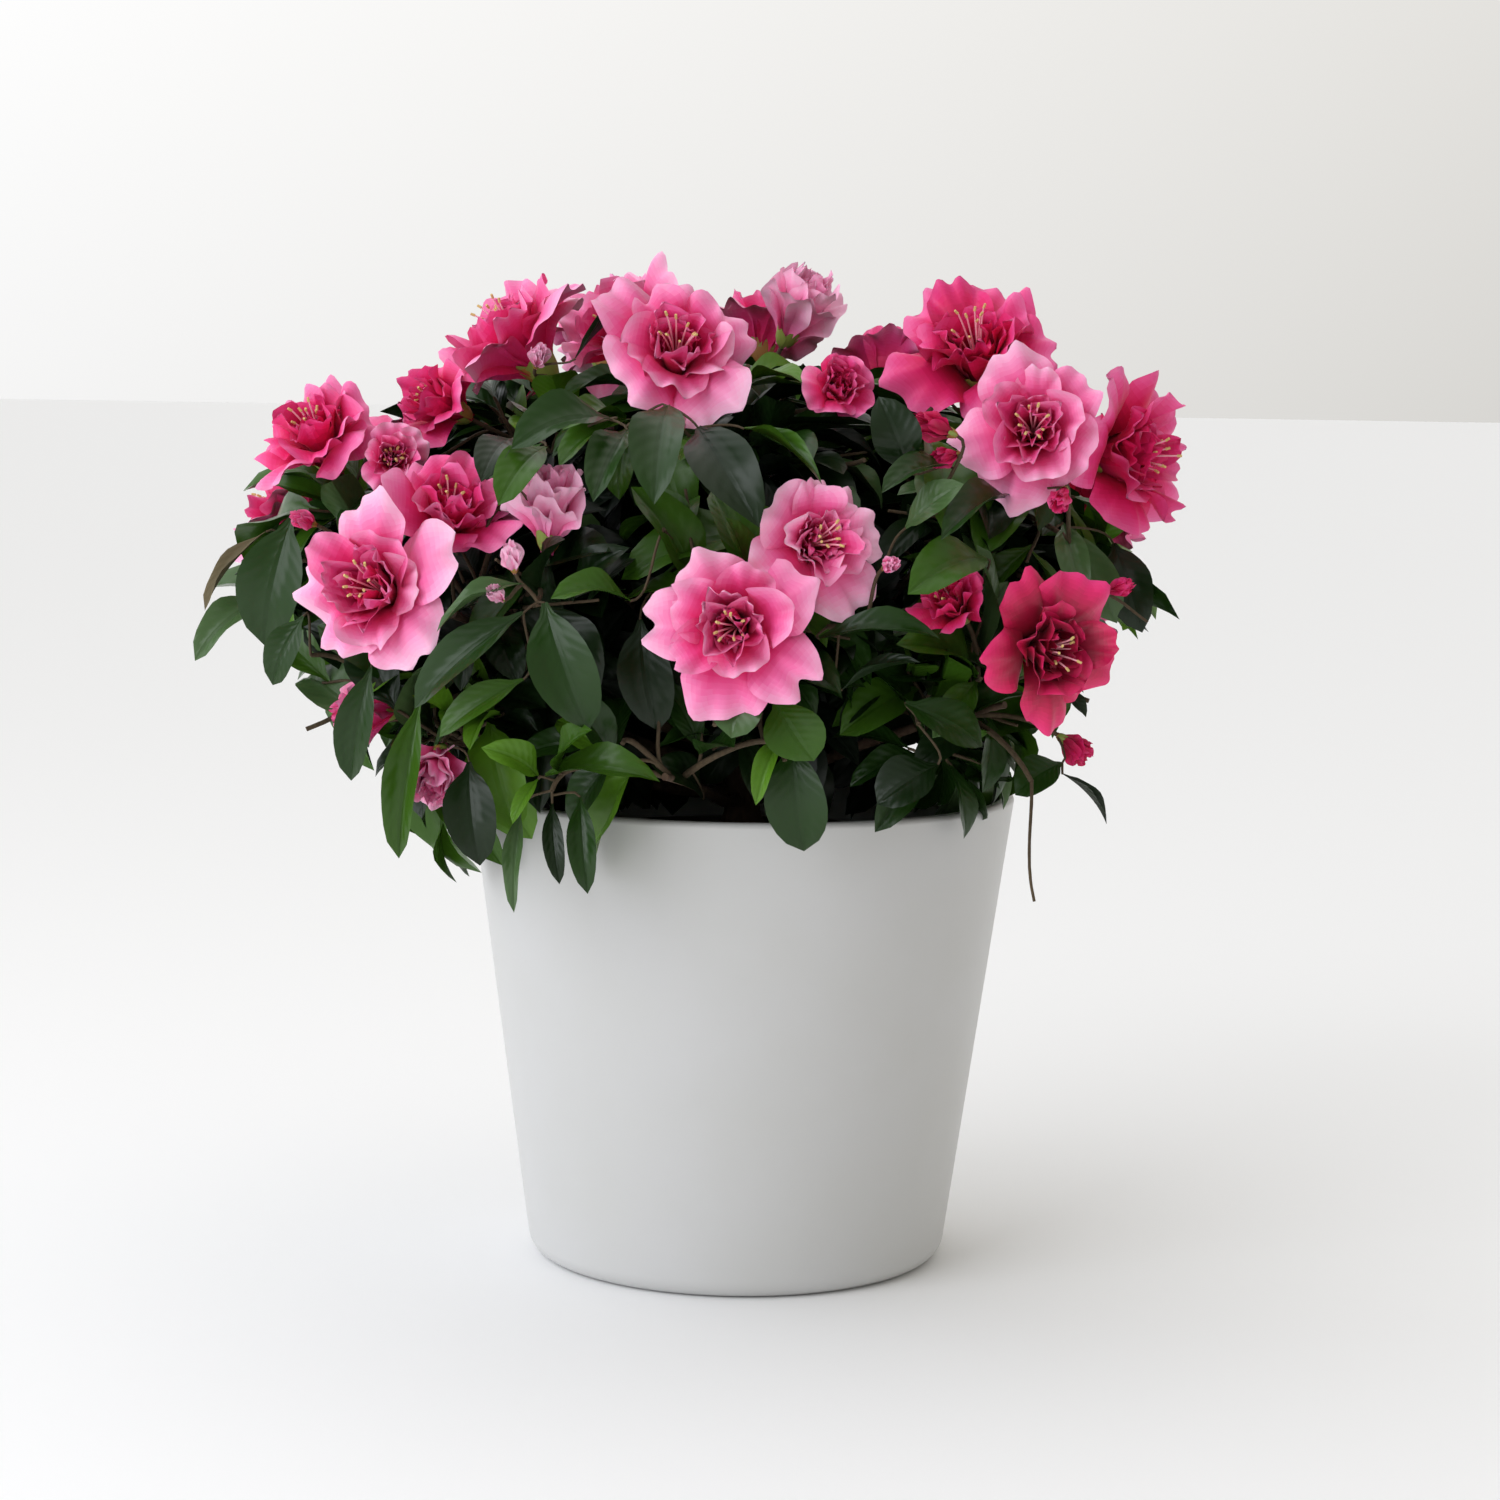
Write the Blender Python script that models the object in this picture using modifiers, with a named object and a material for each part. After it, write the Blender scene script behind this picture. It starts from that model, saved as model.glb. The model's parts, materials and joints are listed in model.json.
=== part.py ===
"""A pink double azalea in a tapered white glazed pot, at its real size.

Units are metres and +Z is up. The origin is the centre of the pot's flat underside, -Y is the side that the
plant is seen from and +X is on its right. The pot is a turned shell, and the compost fills it. A short woody
stem carries one bough for each mass of foliage. A mass is one closed solid: twigs, leaves and flowers joined
in one union.
"""

import math
import random

import bmesh
import bpy
import numpy as np
from mathutils import Matrix, Vector

MM = 0.001
CLEAR = 0.3 * MM  # running gap between neighbouring solids

# Pot
RIM_RADIUS = 85 * MM
FOOT_RADIUS = 65 * MM  # where the straight wall would meet the ground
POT_HEIGHT = 147 * MM
POT_WALL = 4.5 * MM
POT_FLOOR = 6 * MM
FOOT_ROUNDING = 7 * MM
LIP_ROUNDING = 1.6 * MM
POT_SIDES = 48

# Compost
COMPOST_BELOW_RIM = 15 * MM
COMPOST_LEVEL = POT_HEIGHT - COMPOST_BELOW_RIM
COMPOST_FLAT_RADIUS = 24 * MM
COMPOST_FALL = 4 * MM  # from the flat middle to the edge

# Stem
STEM_HEIGHT = 52 * MM
STEM_FOOT_RADIUS = 11 * MM
STEM_RADIUS = 6.4 * MM
STEM_TIP_RADIUS = 4.6 * MM
STEM_FLARE_HEIGHT = 9 * MM
STEM_LEAN = Vector((-3, -2, 0)) * MM

# Boughs
BOUGH_RADIUS = 2.1 * MM
BOUGH_TIP_RADIUS = 1.5 * MM
BOUGH_SHARE = 0.60  # of the way from the stem to the heart of its mass
BOUGH_POINTS = 5
LOWEST_FORK = 12 * MM  # above the compost
FORK_SPAN = 34 * MM
CROWDING = 1.5  # of the points towards the start of a limb, which keeps its first ring square

# Crown: how far the foliage reaches from its centre, and how boxy its outline is
CROWN_CENTRE = Vector((-22, 0, 205)) * MM
CROWN_LEAN = 0.2  # sideways for each step up
CROWN_HALF_WIDTH = 157 * MM
CROWN_HALF_DEPTH = 142 * MM
CROWN_ABOVE = 106 * MM
CROWN_BELOW = 86 * MM
NARROWER_WIDTH = 0.34  # at its lowest
NARROWER_DEPTH = 0.20
BOXY = 2.4
FLOWERS_PROUD = 1.06  # how far out of the crown's limit a flower may stand
SHOOT_COUNT = 154
SHOOT_SHARES = (0.32, 0.80)  # of the crown's reach, for the ends of the seeded shoots
SEED = 11

# Twigs and leaves
TWIG_RADIUS = 1.1 * MM
TWIG_TIP_RADIUS = 0.75 * MM
TWIG_POINTS = 3
LEAF_LENGTH = 46 * MM
LEAF_WIDTH = 24 * MM
LEAF_THICKNESS = 1.1 * MM
LEAF_SIZES = (1.0, 0.86, 0.72)  # tried in turn
LEAVES_PER_SHOOT = 6
LEAVES_UNDER_FLOWER = 4
LEAF_TRIES = 18
LEAF_STEP = 1.0 * MM  # between tries along a shoot
GOLDEN_ANGLE = math.radians(137.5)
LEAF_ROOT_SUNK = 1.2 * MM
LEAF_APART = 2.5 * MM  # between the outer parts of two leaves of a mass

# Flowers
PETAL_THICKNESS = 1.0 * MM
LOBES = 5
NOTCH = 0.76  # of the flower's radius
TUBE_DEPTH = 0.62  # of the flower's radius
SMALLEST_FIT = 0.7

KEPT_FACES = 0.61  # of a mass's faces, once the slivers along its joints are collapsed
SHORTEST_EDGE = 0.003 * MM

SPACE_MARGIN = 0.5 * MM  # from a mass's own space to its border
SEED_STEP = 7 * MM
LIMB_MARGIN = 0.8 * MM
TWIG_MARGIN = 2.5 * MM
TWIG_STEP = 2 * MM
POT_MARGIN = 1.5 * MM

# Each mass of foliage: the heart that its stem grows to, in millimetres
HEARTS = {
    "left_high": (-116, -38, 230),
    "left_front": (-84, -80, 206),
    "top_left": (-76, -14, 262),
    "top": (-10, -32, 262),
    "right_shoulder": (82, -44, 246),
    "front": (6, -94, 204),
    "right_front": (76, -76, 182),
    "left_low": (-92, -62, 168),
    "front_low": (-22, -98, 162),
    "left_outer": (-130, 22, 198),
    "right_outer": (96, 28, 204),
    "back_left": (-82, 62, 242),
    "back_right": (34, 58, 256),
    "back": (-22, 100, 206),
    "back_low_left": (-84, 84, 172),
    "back_low_right": (50, 88, 172),
}
LEADER = "top"

# Each flower: its mass, its place and width in millimetres, the bearing and elevation in degrees that it
# faces (bearing 0 is towards -Y and 90 towards +X), and how far it has opened
FLOWERS = (
    ("left_high", (-127, -50, 256), 46, -30, 48, 1.0),
    ("left_high", (-104, -60, 250), 26, 10, 10, 0.7),
    ("top_left", (-92, -36, 266), 34, -60, 25, 0.8),
    ("top_left", (-69, -28, 284), 48, -75, 48, 1.0),
    ("top", (-37, 0, 288), 42, -50, 30, 1.0),
    ("top", (-21, -58, 283), 54, 4, 30, 1.0),
    ("top", (14, -14, 294), 34, 50, 60, 0.4),
    ("top", (26, -58, 272), 26, 10, 20, 0.8),
    ("right_shoulder", (68, -34, 284), 58, -15, 46, 1.0),
    ("right_shoulder", (82, -78, 262), 48, -5, 12, 1.0),
    ("right_shoulder", (112, -46, 254), 56, 58, 2, 1.0),
    ("left_front", (-105, -96, 214), 54, -18, 12, 1.0),
    ("left_front", (-86, -76, 232), 32, 15, 45, 0.8),
    ("left_front", (-56, -96, 234), 30, 5, 74, 0.3),
    ("front", (-3, -120, 207), 50, -8, 4, 1.0),
    ("front", (20, -106, 230), 44, 22, 12, 1.0),
    ("right_front", (86, -96, 200), 46, 30, 0, 1.0),
    ("right_front", (60, -92, 212), 28, -30, 35, 0.7),
    ("right_front", (98, -60, 168), 20, 75, -35, 0.3),
    ("left_low", (-108, -70, 176), 26, -70, -5, 0.4),
    ("left_low", (-88, -90, 163), 28, -10, -35, 0.5),
    ("left_outer", (-146, 26, 230), 44, -95, 35, 1.0),
    ("right_outer", (112, 30, 238), 46, 100, 30, 1.0),
    ("right_outer", (110, 58, 194), 40, 115, 5, 1.0),
    ("back_left", (-116, 72, 246), 48, -130, 35, 1.0),
    ("back_left", (-84, 78, 268), 38, -160, 50, 0.8),
    ("back_left", (-48, 48, 288), 46, -160, 62, 1.0),
    ("back_right", (4, 46, 290), 40, 170, 66, 0.9),
    ("back_right", (46, 66, 280), 52, 160, 45, 1.0),
    ("back_right", (78, 46, 270), 40, 115, 45, 1.0),
    ("back", (-38, 120, 226), 48, 175, 12, 1.0),
    ("back", (2, 118, 238), 40, 160, 22, 0.9),
    ("back_low_left", (-104, 98, 182), 44, -135, 0, 1.0),
    ("back_low_right", (76, 102, 190), 44, 140, 8, 1.0),
)

# The leafy shoots that shape the front: mass, place of the end in millimetres, bearing and elevation
FRONT_SHOOTS = (
    ("top", (-50, -66, 258), -25, 20),
    ("top", (-12, -80, 252), 0, 10),
    ("top", (34, -66, 252), 20, 15),
    ("left_front", (-58, -108, 212), -15, -35),
    ("front", (-8, -108, 178), -10, -40),
    ("front", (34, -108, 206), 40, 0),
    ("right_shoulder", (54, -88, 238), 0, 0),
    ("right_shoulder", (94, -68, 230), 30, -20),
    ("left_high", (-134, -34, 218), -60, -10),
    ("left_outer", (-136, -6, 200), -75, -20),
    ("left_low", (-84, -84, 182), -25, -20),
    ("left_low", (-98, -82, 164), -40, -50),
    ("front_low", (-54, -102, 158), -20, -60),
    ("front_low", (-34, -104, 172), -5, -25),
    ("front_low", (12, -106, 168), 10, -60),
    ("right_front", (104, -40, 180), 70, -20),
    ("right_front", (50, -96, 178), 10, -30),
    ("right_front", (84, -80, 160), 35, -50),
)

# Colour as linear red, green and blue, and roughness
FINISHES = {
    "white_glaze": ((0.80, 0.81, 0.82), 0.35),
    "compost": ((0.035, 0.022, 0.014), 0.95),
    "bark": ((0.12, 0.075, 0.045), 0.85),
    "foliage": ((0.045, 0.13, 0.03), 0.45),
}


def clear_scene():
    for item in list(bpy.data.objects):
        bpy.data.objects.remove(item)


def new_collection(name):
    collection = bpy.data.collections.new(name)
    bpy.context.scene.collection.children.link(collection)
    return collection


def finish(name):
    """The named material, made the first time that it is asked for."""
    found = bpy.data.materials.get(name)
    if found:
        return found
    colour, roughness = FINISHES[name]
    material = bpy.data.materials.new(name)
    material.use_nodes = True
    shader = material.node_tree.nodes["Principled BSDF"]
    shader.inputs["Base Color"].default_value = (*colour, 1)
    shader.inputs["Roughness"].default_value = roughness
    material.diffuse_color = (*colour, 1)
    return material


def facing(bearing, elevation):
    """The unit vector at this bearing from -Y, positive towards +X, and this elevation, both in degrees."""
    turn, rise = math.radians(bearing), math.radians(elevation)
    return Vector((math.sin(turn) * math.cos(rise), -math.cos(turn) * math.cos(rise), math.sin(rise)))


def bezier(start, leaving, arriving, end, count):
    """Points on the cubic curve with these two handles, closer together near its start."""
    points = []
    for i in range(count):
        t = (i / (count - 1)) ** CROWDING
        s = 1 - t
        points.append(s**3 * start + 3 * s * s * t * leaving + 3 * s * t * t * arriving + t**3 * end)
    return points


def turned(name, profile, material, collection):
    """A solid of revolution about Z. The profile is (radius, height) pairs, ending down its outer side."""
    mesh = bpy.data.meshes.new(name)
    edges = [(i, i + 1) for i in range(len(profile) - 1)]
    mesh.from_pydata([(radius, 0, height) for radius, height in profile], edges, [])
    item = bpy.data.objects.new(name, mesh)
    collection.objects.link(item)
    screw = item.modifiers.new("Turn", "SCREW")
    screw.steps = screw.render_steps = POT_SIDES
    screw.use_merge_vertices = True
    screw.merge_threshold = 0.01 * MM
    screw.use_smooth_shade = True
    mesh.materials.append(finish(material))
    return item


def rounded(centre, radius, start, end, steps):
    """(radius, height) points on an arc in a turned profile, with its angles in degrees from +X."""
    angles = [math.radians(start + (end - start) * i / steps) for i in range(steps + 1)]
    return [(centre[0] + radius * math.cos(a), centre[1] + radius * math.sin(a)) for a in angles]


def pot_radius(height):
    """The outer wall's radius at this height."""
    return FOOT_RADIUS + (RIM_RADIUS - FOOT_RADIUS) * height / POT_HEIGHT


def make_pot(collection):
    lean = math.degrees(math.atan2(RIM_RADIUS - FOOT_RADIUS, POT_HEIGHT))
    inner_foot = pot_radius(POT_FLOOR) - POT_WALL
    inner_rim = RIM_RADIUS - POT_WALL
    lip_outer = (RIM_RADIUS - LIP_ROUNDING, POT_HEIGHT - LIP_ROUNDING)
    lip_inner = (inner_rim + LIP_ROUNDING, POT_HEIGHT - LIP_ROUNDING)
    foot = (FOOT_RADIUS - FOOT_ROUNDING * math.tan(math.radians(45 - lean / 2)), FOOT_ROUNDING)
    profile = [(0, POT_FLOOR), (inner_foot, POT_FLOOR)]
    profile += rounded(lip_inner, LIP_ROUNDING, 180, 90, 2)
    profile += rounded(lip_outer, LIP_ROUNDING, 90, -lean, 2)
    profile += rounded(foot, FOOT_ROUNDING, -lean, -90, 4)
    profile += [(0, 0)]
    return turned("pot", profile, "white_glaze", collection)


def make_compost(collection):
    def inner(height):
        return pot_radius(height) - POT_WALL - 2 * CLEAR

    edge = COMPOST_LEVEL - COMPOST_FALL
    bottom = POT_FLOOR + CLEAR
    middle = (COMPOST_FLAT_RADIUS + inner(edge)) / 2
    profile = [(0, COMPOST_LEVEL), (COMPOST_FLAT_RADIUS, COMPOST_LEVEL)]
    profile += [(middle, COMPOST_LEVEL - 0.3 * COMPOST_FALL), (inner(edge) - 3 * MM, edge + 0.3 * MM)]
    profile += [(inner(edge - 2 * MM), edge - 2 * MM), (inner(bottom), bottom), (0, bottom)]
    return turned("compost", profile, "compost", collection)


def tube(name, points, radii, collection, section=None, rounds=1):
    """A tapered limb along the points, with 4 + 2 * rounds sides or with the section of another curve."""
    curve = bpy.data.curves.new(name, "CURVE")
    curve.dimensions = "3D"
    curve.use_fill_caps = True
    curve.bevel_resolution = rounds
    curve.bevel_depth = 1
    if section:
        curve.bevel_mode = "OBJECT"
        curve.bevel_object = section
    spline = curve.splines.new("POLY")
    spline.points.add(len(points) - 1)
    for knot, place, radius in zip(spline.points, points, radii):
        knot.co = (*place, 1)
        knot.radius = radius
    item = bpy.data.objects.new(name, curve)
    collection.objects.link(item)
    return item


def tapered(first, last, count):
    return [first + (last - first) * i / (count - 1) for i in range(count)]


def stem_axis(height):
    """A point on the stem's axis, this high above the compost."""
    share = height / STEM_HEIGHT
    return Vector((0, 0, COMPOST_LEVEL + height)) + STEM_LEAN * share * share


def stem_radius(height):
    flare = max(0, 1 - height / STEM_FLARE_HEIGHT)
    taper = STEM_RADIUS + (STEM_TIP_RADIUS - STEM_RADIUS) * height / STEM_HEIGHT
    return taper + (STEM_FOOT_RADIUS - STEM_RADIUS) * flare * flare


def make_stem(collection):
    """The short woody stem, from its flat cut on the compost, through its flare, to its blunt tip."""
    heights = [CLEAR, STEM_FLARE_HEIGHT * 0.15, STEM_FLARE_HEIGHT * 0.45, STEM_FLARE_HEIGHT]
    heights += [STEM_FLARE_HEIGHT + (STEM_HEIGHT - STEM_FLARE_HEIGHT) * i / 4 for i in range(1, 5)]
    points = [stem_axis(h) for h in heights]
    points[1].xy = points[0].xy  # keeps the cut level
    radii = [stem_radius(h) - 0.6 * CLEAR for h in heights]
    item = tube("stem", points, radii, collection, rounds=4)
    item.data.materials.append(finish("bark"))
    return item


class Limb:
    """A tapered limb as its points and radii, and the mass it belongs to: None for a bough or the stem."""

    def __init__(self, points, radii, mass=None):
        self.points = points
        self.radii = radii
        self.mass = mass

    def at(self, share):
        """The point, direction and radius at this share of the way along."""
        place = share * (len(self.points) - 1)
        i = min(int(place), len(self.points) - 2)
        t = place - i
        start, end = self.points[i], self.points[i + 1]
        radius = self.radii[i] + (self.radii[i + 1] - self.radii[i]) * t
        return start.lerp(end, t), (end - start).normalized(), radius

    def length(self):
        return sum((b - a).length for a, b in zip(self.points, self.points[1:]))


def fork_heights():
    """The height above the compost at which each bough leaves the stem: low hearts leave it low."""
    ranked = sorted(HEARTS, key=lambda name: HEARTS[name][2])
    step = FORK_SPAN / (len(ranked) - 1)
    return {name: LOWEST_FORK + step * i for i, name in enumerate(ranked)}


def bough(name, fork):
    """The bough to one mass. It leaves the stem's side level, or goes on from its tip, and then rises."""
    heart = Vector(HEARTS[name]) * MM
    if name == LEADER:
        outward = (stem_axis(STEM_HEIGHT) - stem_axis(STEM_HEIGHT * 0.9)).normalized()
        start = stem_axis(STEM_HEIGHT) + outward * 1.5 * CLEAR
    else:
        axis = stem_axis(fork)
        outward = Vector((heart.x - axis.x, heart.y - axis.y, 0)).normalized()
        start = axis + outward * (stem_radius(fork) + 1.2 * CLEAR)
    end = start.lerp(heart, BOUGH_SHARE)
    span = (end - start).length
    points = bezier(start, start + outward * span * 0.34, end.lerp(start, 0.4), end, BOUGH_POINTS)
    return Limb(points, tapered(BOUGH_RADIUS, BOUGH_TIP_RADIUS, BOUGH_POINTS))


def mass_stem(name, carrier):
    """The stem of a mass: it goes on from its bough's tip to the heart."""
    tip, onward, _ = carrier.at(1)
    heart = Vector(HEARTS[name]) * MM
    start = tip + onward * CLEAR
    gap = (heart - start).length
    points = bezier(start, start + onward * gap * 0.5, heart.lerp(start, 0.3), heart, 4)
    return Limb(points, tapered(BOUGH_TIP_RADIUS, TWIG_RADIUS, 4), name)


def crown_measure(points):
    """How far out each point lies: 0 at the crown's centre, 1 on its outer limit, which narrows downwards."""
    x, y, z = (points - np.array(CROWN_CENTRE)).T
    x = x - CROWN_LEAN * z
    down = np.clip(-z / CROWN_BELOW, 0, 1)
    across = np.abs(x) / (CROWN_HALF_WIDTH * (1 - NARROWER_WIDTH * down))
    deep = np.abs(y) / (CROWN_HALF_DEPTH * (1 - NARROWER_DEPTH * down))
    plan = (across**BOXY + deep**BOXY) ** (1 / BOXY)
    dome = (plan**BOXY + (np.maximum(z, 0) / CROWN_ABOVE) ** BOXY) ** (1 / BOXY)
    return np.maximum(dome, -z / CROWN_BELOW)


def place_in_crown(rng):
    """A seeded place for the end of a shoot, within the wanted shares of the crown's reach."""
    while True:
        width, depth = CROWN_HALF_WIDTH, CROWN_HALF_DEPTH
        offset = [rng.uniform(-width, width), rng.uniform(-depth, depth)]
        offset.append(rng.uniform(-0.5 * CROWN_BELOW, CROWN_ABOVE))
        place = CROWN_CENTRE + Vector(offset)
        if SHOOT_SHARES[0] < crown_measure(np.array([tuple(place)]))[0] < SHOOT_SHARES[1]:
            return place


def grow_twig(stem, tip, pointing):
    """A twig that leaves a mass's stem and reaches its tip along the direction that it points."""
    start = stem.points[0]
    reach = (stem.points[-1] - start).length
    share = min(0.95, max(0.3, (tip - start).dot(stem.points[-1] - start) / reach / reach - 0.5))
    root, along, _ = stem.at(share)
    gap = (tip - root).length
    points = bezier(root, root + along * gap * 0.25, tip - pointing * gap * 0.4, tip, TWIG_POINTS)
    return Limb(points, tapered(TWIG_RADIUS, TWIG_TIP_RADIUS, TWIG_POINTS), stem.mass)


def seeds_on(limb):
    """Points close together along a limb, which claim the space round it for its mass."""
    count = max(2, round(limb.length() / SEED_STEP))
    return [tuple(limb.at(i / count)[0]) for i in range(count + 1)]


class Space:
    """What a new twig, leaf or flower keeps clear of: the other masses, the limbs, the pot and the limit."""

    def __init__(self, boughs, stems):
        self.seeds, self.owners = np.empty((0, 3)), np.empty(0, dtype=str)
        self.starts, self.ends = np.empty((0, 3)), np.empty((0, 3))
        self.radii, self.masses = np.empty(0), np.empty(0, dtype=str)
        for limb in boughs:
            self.add_limb(limb)
        for limb in stems:
            self.claim(limb)

    def add_limb(self, limb):
        points = np.array([tuple(p) for p in limb.points])
        radii = np.maximum(limb.radii[:-1], limb.radii[1:])
        self.starts = np.concatenate([self.starts, points[:-1]])
        self.ends = np.concatenate([self.ends, points[1:]])
        self.radii = np.concatenate([self.radii, radii])
        self.masses = np.concatenate([self.masses, [limb.mass or ""] * len(radii)])

    def claim(self, limb, *places):
        """Adds a mass's limb, with the space round it and round any further places."""
        self.add_limb(limb)
        seeds = np.array([*seeds_on(limb), *[tuple(place) for place in places]])
        self.seeds = np.concatenate([self.seeds, seeds])
        self.owners = np.concatenate([self.owners, [limb.mass] * len(seeds)])

    def in_own_space(self, points, mass):
        """Each point lies nearer to a seed of its own mass than to any other, by the margin at the border."""
        square = ((points[:, None] - self.seeds[None]) ** 2).sum(2)
        mine = self.owners == mass
        own = np.where(mine, square, np.inf).argmin(1)
        apart = np.linalg.norm(self.seeds[None, ~mine] - self.seeds[own][:, None], axis=2)
        border = (square[:, ~mine] - square[np.arange(len(points)), own][:, None]) / (2 * apart)
        return border.min() >= SPACE_MARGIN

    def off_limbs(self, points, mass, margin):
        """No point is near a bough, the stem or another mass's twig."""
        other = self.masses != mass
        a, b, radii = self.starts[other], self.ends[other], self.radii[other]
        along = b - a
        t = ((points[:, None] - a[None]) * along[None]).sum(2) / (along**2).sum(1)
        nearest = a[None] + np.clip(t, 0, 1)[..., None] * along[None]
        away = np.linalg.norm(points[:, None] - nearest, axis=2) - radii[None]
        return away.min() >= margin

    def off_pot(self, points):
        """Each point is over the rim, outside the wall or over the compost inside it."""
        height, out = points[:, 2], np.hypot(points[:, 0], points[:, 1])
        wall = FOOT_RADIUS + (RIM_RADIUS - FOOT_RADIUS) * height / POT_HEIGHT
        over = height > POT_HEIGHT + POT_MARGIN
        outside = out > wall + POT_MARGIN
        inside = (out < wall - POT_WALL - POT_MARGIN) & (height > COMPOST_LEVEL + POT_MARGIN)
        return bool((over | outside | inside).all())

    def takes_twig(self, limb):
        steps = round(limb.length() / TWIG_STEP)
        points = np.array([tuple(limb.at(i / steps)[0]) for i in range(2, steps + 1)])
        return self.off_pot(points) and self.off_limbs(points, limb.mass, TWIG_MARGIN)

    def owner_at(self, place):
        """The mass whose space a place lies in."""
        return self.owners[((self.seeds - np.array(tuple(place))) ** 2).sum(1).argmin()]

    def takes(self, points, mass, limit=1):
        points = np.array([tuple(p) for p in points])
        if crown_measure(points).max() > limit or not self.off_pot(points):
            return False
        return self.in_own_space(points, mass) and self.off_limbs(points, mass, LIMB_MARGIN)


def flower_seeds(flower):
    """Points over a flower's disc, which claim the space round it for its mass."""
    _, place, width, bearing, elevation, _ = flower
    centre = Vector(place) * MM
    across, up = flower_frame(facing(bearing, elevation), 0)
    seeds = [centre]
    for i in range(6):
        angle = math.tau * i / 6
        seeds.append(centre + (across * math.cos(angle) + up * math.sin(angle)) * 0.35 * width * MM)
    return seeds


def grow_shoots(stems, space):
    """Every shoot as (mass, label, twig, flower): those with flowers, those in front, the seeded ones."""
    shoots = []

    def add(mass, tip, pointing, flower=None, seeded=False):
        twig = grow_twig(stems[mass], tip, pointing)
        if not space.takes_twig(twig):
            return
        if seeded and not space.in_own_space(np.array(seeds_on(twig))[1:], mass):
            return
        space.claim(twig, *(flower_seeds(flower) if flower else []))
        shoots.append((mass, f"shoot_{len(shoots)}", twig, flower))

    for flower in FLOWERS:
        mass, place, width, bearing, elevation, _ = flower
        pointing = facing(bearing, elevation)
        add(mass, Vector(place) * MM - pointing * (TUBE_DEPTH * width * MM / 2), pointing, flower)
    for mass, place, bearing, elevation in FRONT_SHOOTS:
        add(mass, Vector(place) * MM, facing(bearing, elevation))
    rng = random.Random(SEED)
    ends = [twig.points[-1] for _, _, twig, _ in shoots]
    for _ in range(3 * SHOOT_COUNT):
        choices = [place_in_crown(rng) for _ in range(30)]
        end = max(choices, key=lambda place: min((place - other).length for other in ends))
        ends.append(end)
        if len(shoots) < SHOOT_COUNT:
            add(space.owner_at(end), end, (end - CROWN_CENTRE).normalized(), seeded=True)
    return shoots


def octahedron():
    """The six corners of a sphere of four sides and two bands, as a bmesh with corners on its axes."""
    shape = bmesh.new()
    bmesh.ops.create_uvsphere(shape, u_segments=4, v_segments=2, radius=1)
    corner = max(shape.verts, key=lambda v: v.co.x)
    turn = Matrix.Rotation(-math.atan2(corner.co.y, corner.co.x), 3, "Z")
    bmesh.ops.rotate(shape, verts=shape.verts, cent=(0, 0, 0), matrix=turn)
    return shape


def blade(name, root, tip, up, width, thickness, arch, collection):
    """A thin blade of eight faces from root to tip, widest and highest at mid length."""
    along = tip - root
    side = along.cross(up).normalized()
    face = side.cross(along).normalized()
    shape = octahedron()
    for corner in shape.verts:
        u, s, w = corner.co
        middle = 1 - abs(u)
        corner.co = root + along * (0.5 + 0.5 * u + 0.04 * middle)
        corner.co += side * (s * width / 2) + face * (w * thickness / 2 + middle * arch)
    return solid_from(name, shape, collection)


def solid_from(name, shape, collection):
    """An object from a closed bmesh, with its faces turned outwards."""
    bmesh.ops.triangulate(shape, faces=shape.faces)
    bmesh.ops.recalc_face_normals(shape, faces=shape.faces)
    mesh = bpy.data.meshes.new(name)
    shape.to_mesh(mesh)
    shape.free()
    item = bpy.data.objects.new(name, mesh)
    collection.objects.link(item)
    return item


def blade_samples(root, tip, up, width, arch):
    """Points over a blade, in rows across it from root to tip, for the tests of its space."""
    along = tip - root
    side = along.cross(up).normalized()
    face = side.cross(along).normalized()
    samples = []
    for i in range(11):
        t = i / 10
        bulge = 1 - abs(2 * t - 1)
        for s in (-1, -0.5, 0, 0.5, 1):
            samples.append(root + along * t + side * (s * bulge * width / 2) + face * (bulge * arch))
    return samples


def flower_frame(direction, twist):
    """Two axes across the direction that a flower faces, turned by the twist."""
    across = direction.orthogonal().normalized()
    across.rotate(Matrix.Rotation(twist, 3, direction))
    return across, direction.cross(across)


def corolla_bands(radius, opened):
    """(radius, height) of each band of a flower from its sunk centre, over its petals' edge, to its base."""
    wide = radius * (0.42 + 0.58 * opened)
    lip = radius * 0.95 * (1 - opened)
    base = -TUBE_DEPTH * radius
    centre = (0, 0.10 * radius + 0.3 * lip)
    crest = (0.52 * wide, 0.26 * radius + 0.9 * lip)
    outer = (0.56 * wide, 0.45 * base + 0.4 * lip)
    return [centre, crest, (wide, lip), outer, (0, base - PETAL_THICKNESS)]


def corolla(name, centre, direction, radius, opened, twist, collection):
    """A double flower with lobes and notches: a sphere of bands, each drawn to its radius and height."""
    bands = corolla_bands(radius, opened)
    across, up = flower_frame(direction, twist)
    shape = bmesh.new()
    bmesh.ops.create_uvsphere(shape, u_segments=2 * LOBES, v_segments=len(bands) - 1, radius=1)
    for corner in shape.verts:
        band = round((0.5 - math.asin(max(-1, min(1, corner.co.z))) / math.pi) * (len(bands) - 1))
        angle = math.atan2(corner.co.y, corner.co.x)
        out, high = bands[band]
        if band == 1:
            high += 0.10 * radius * (-1) ** round(angle / math.pi * LOBES)
        elif round(angle / math.pi * LOBES) % 2:
            out *= NOTCH if band == 2 else 0.9
            high += 0.10 * radius * (band == 2)
        corner.co = centre + direction * high + (across * math.cos(angle) + up * math.sin(angle)) * out
    return solid_from(name, shape, collection)


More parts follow.
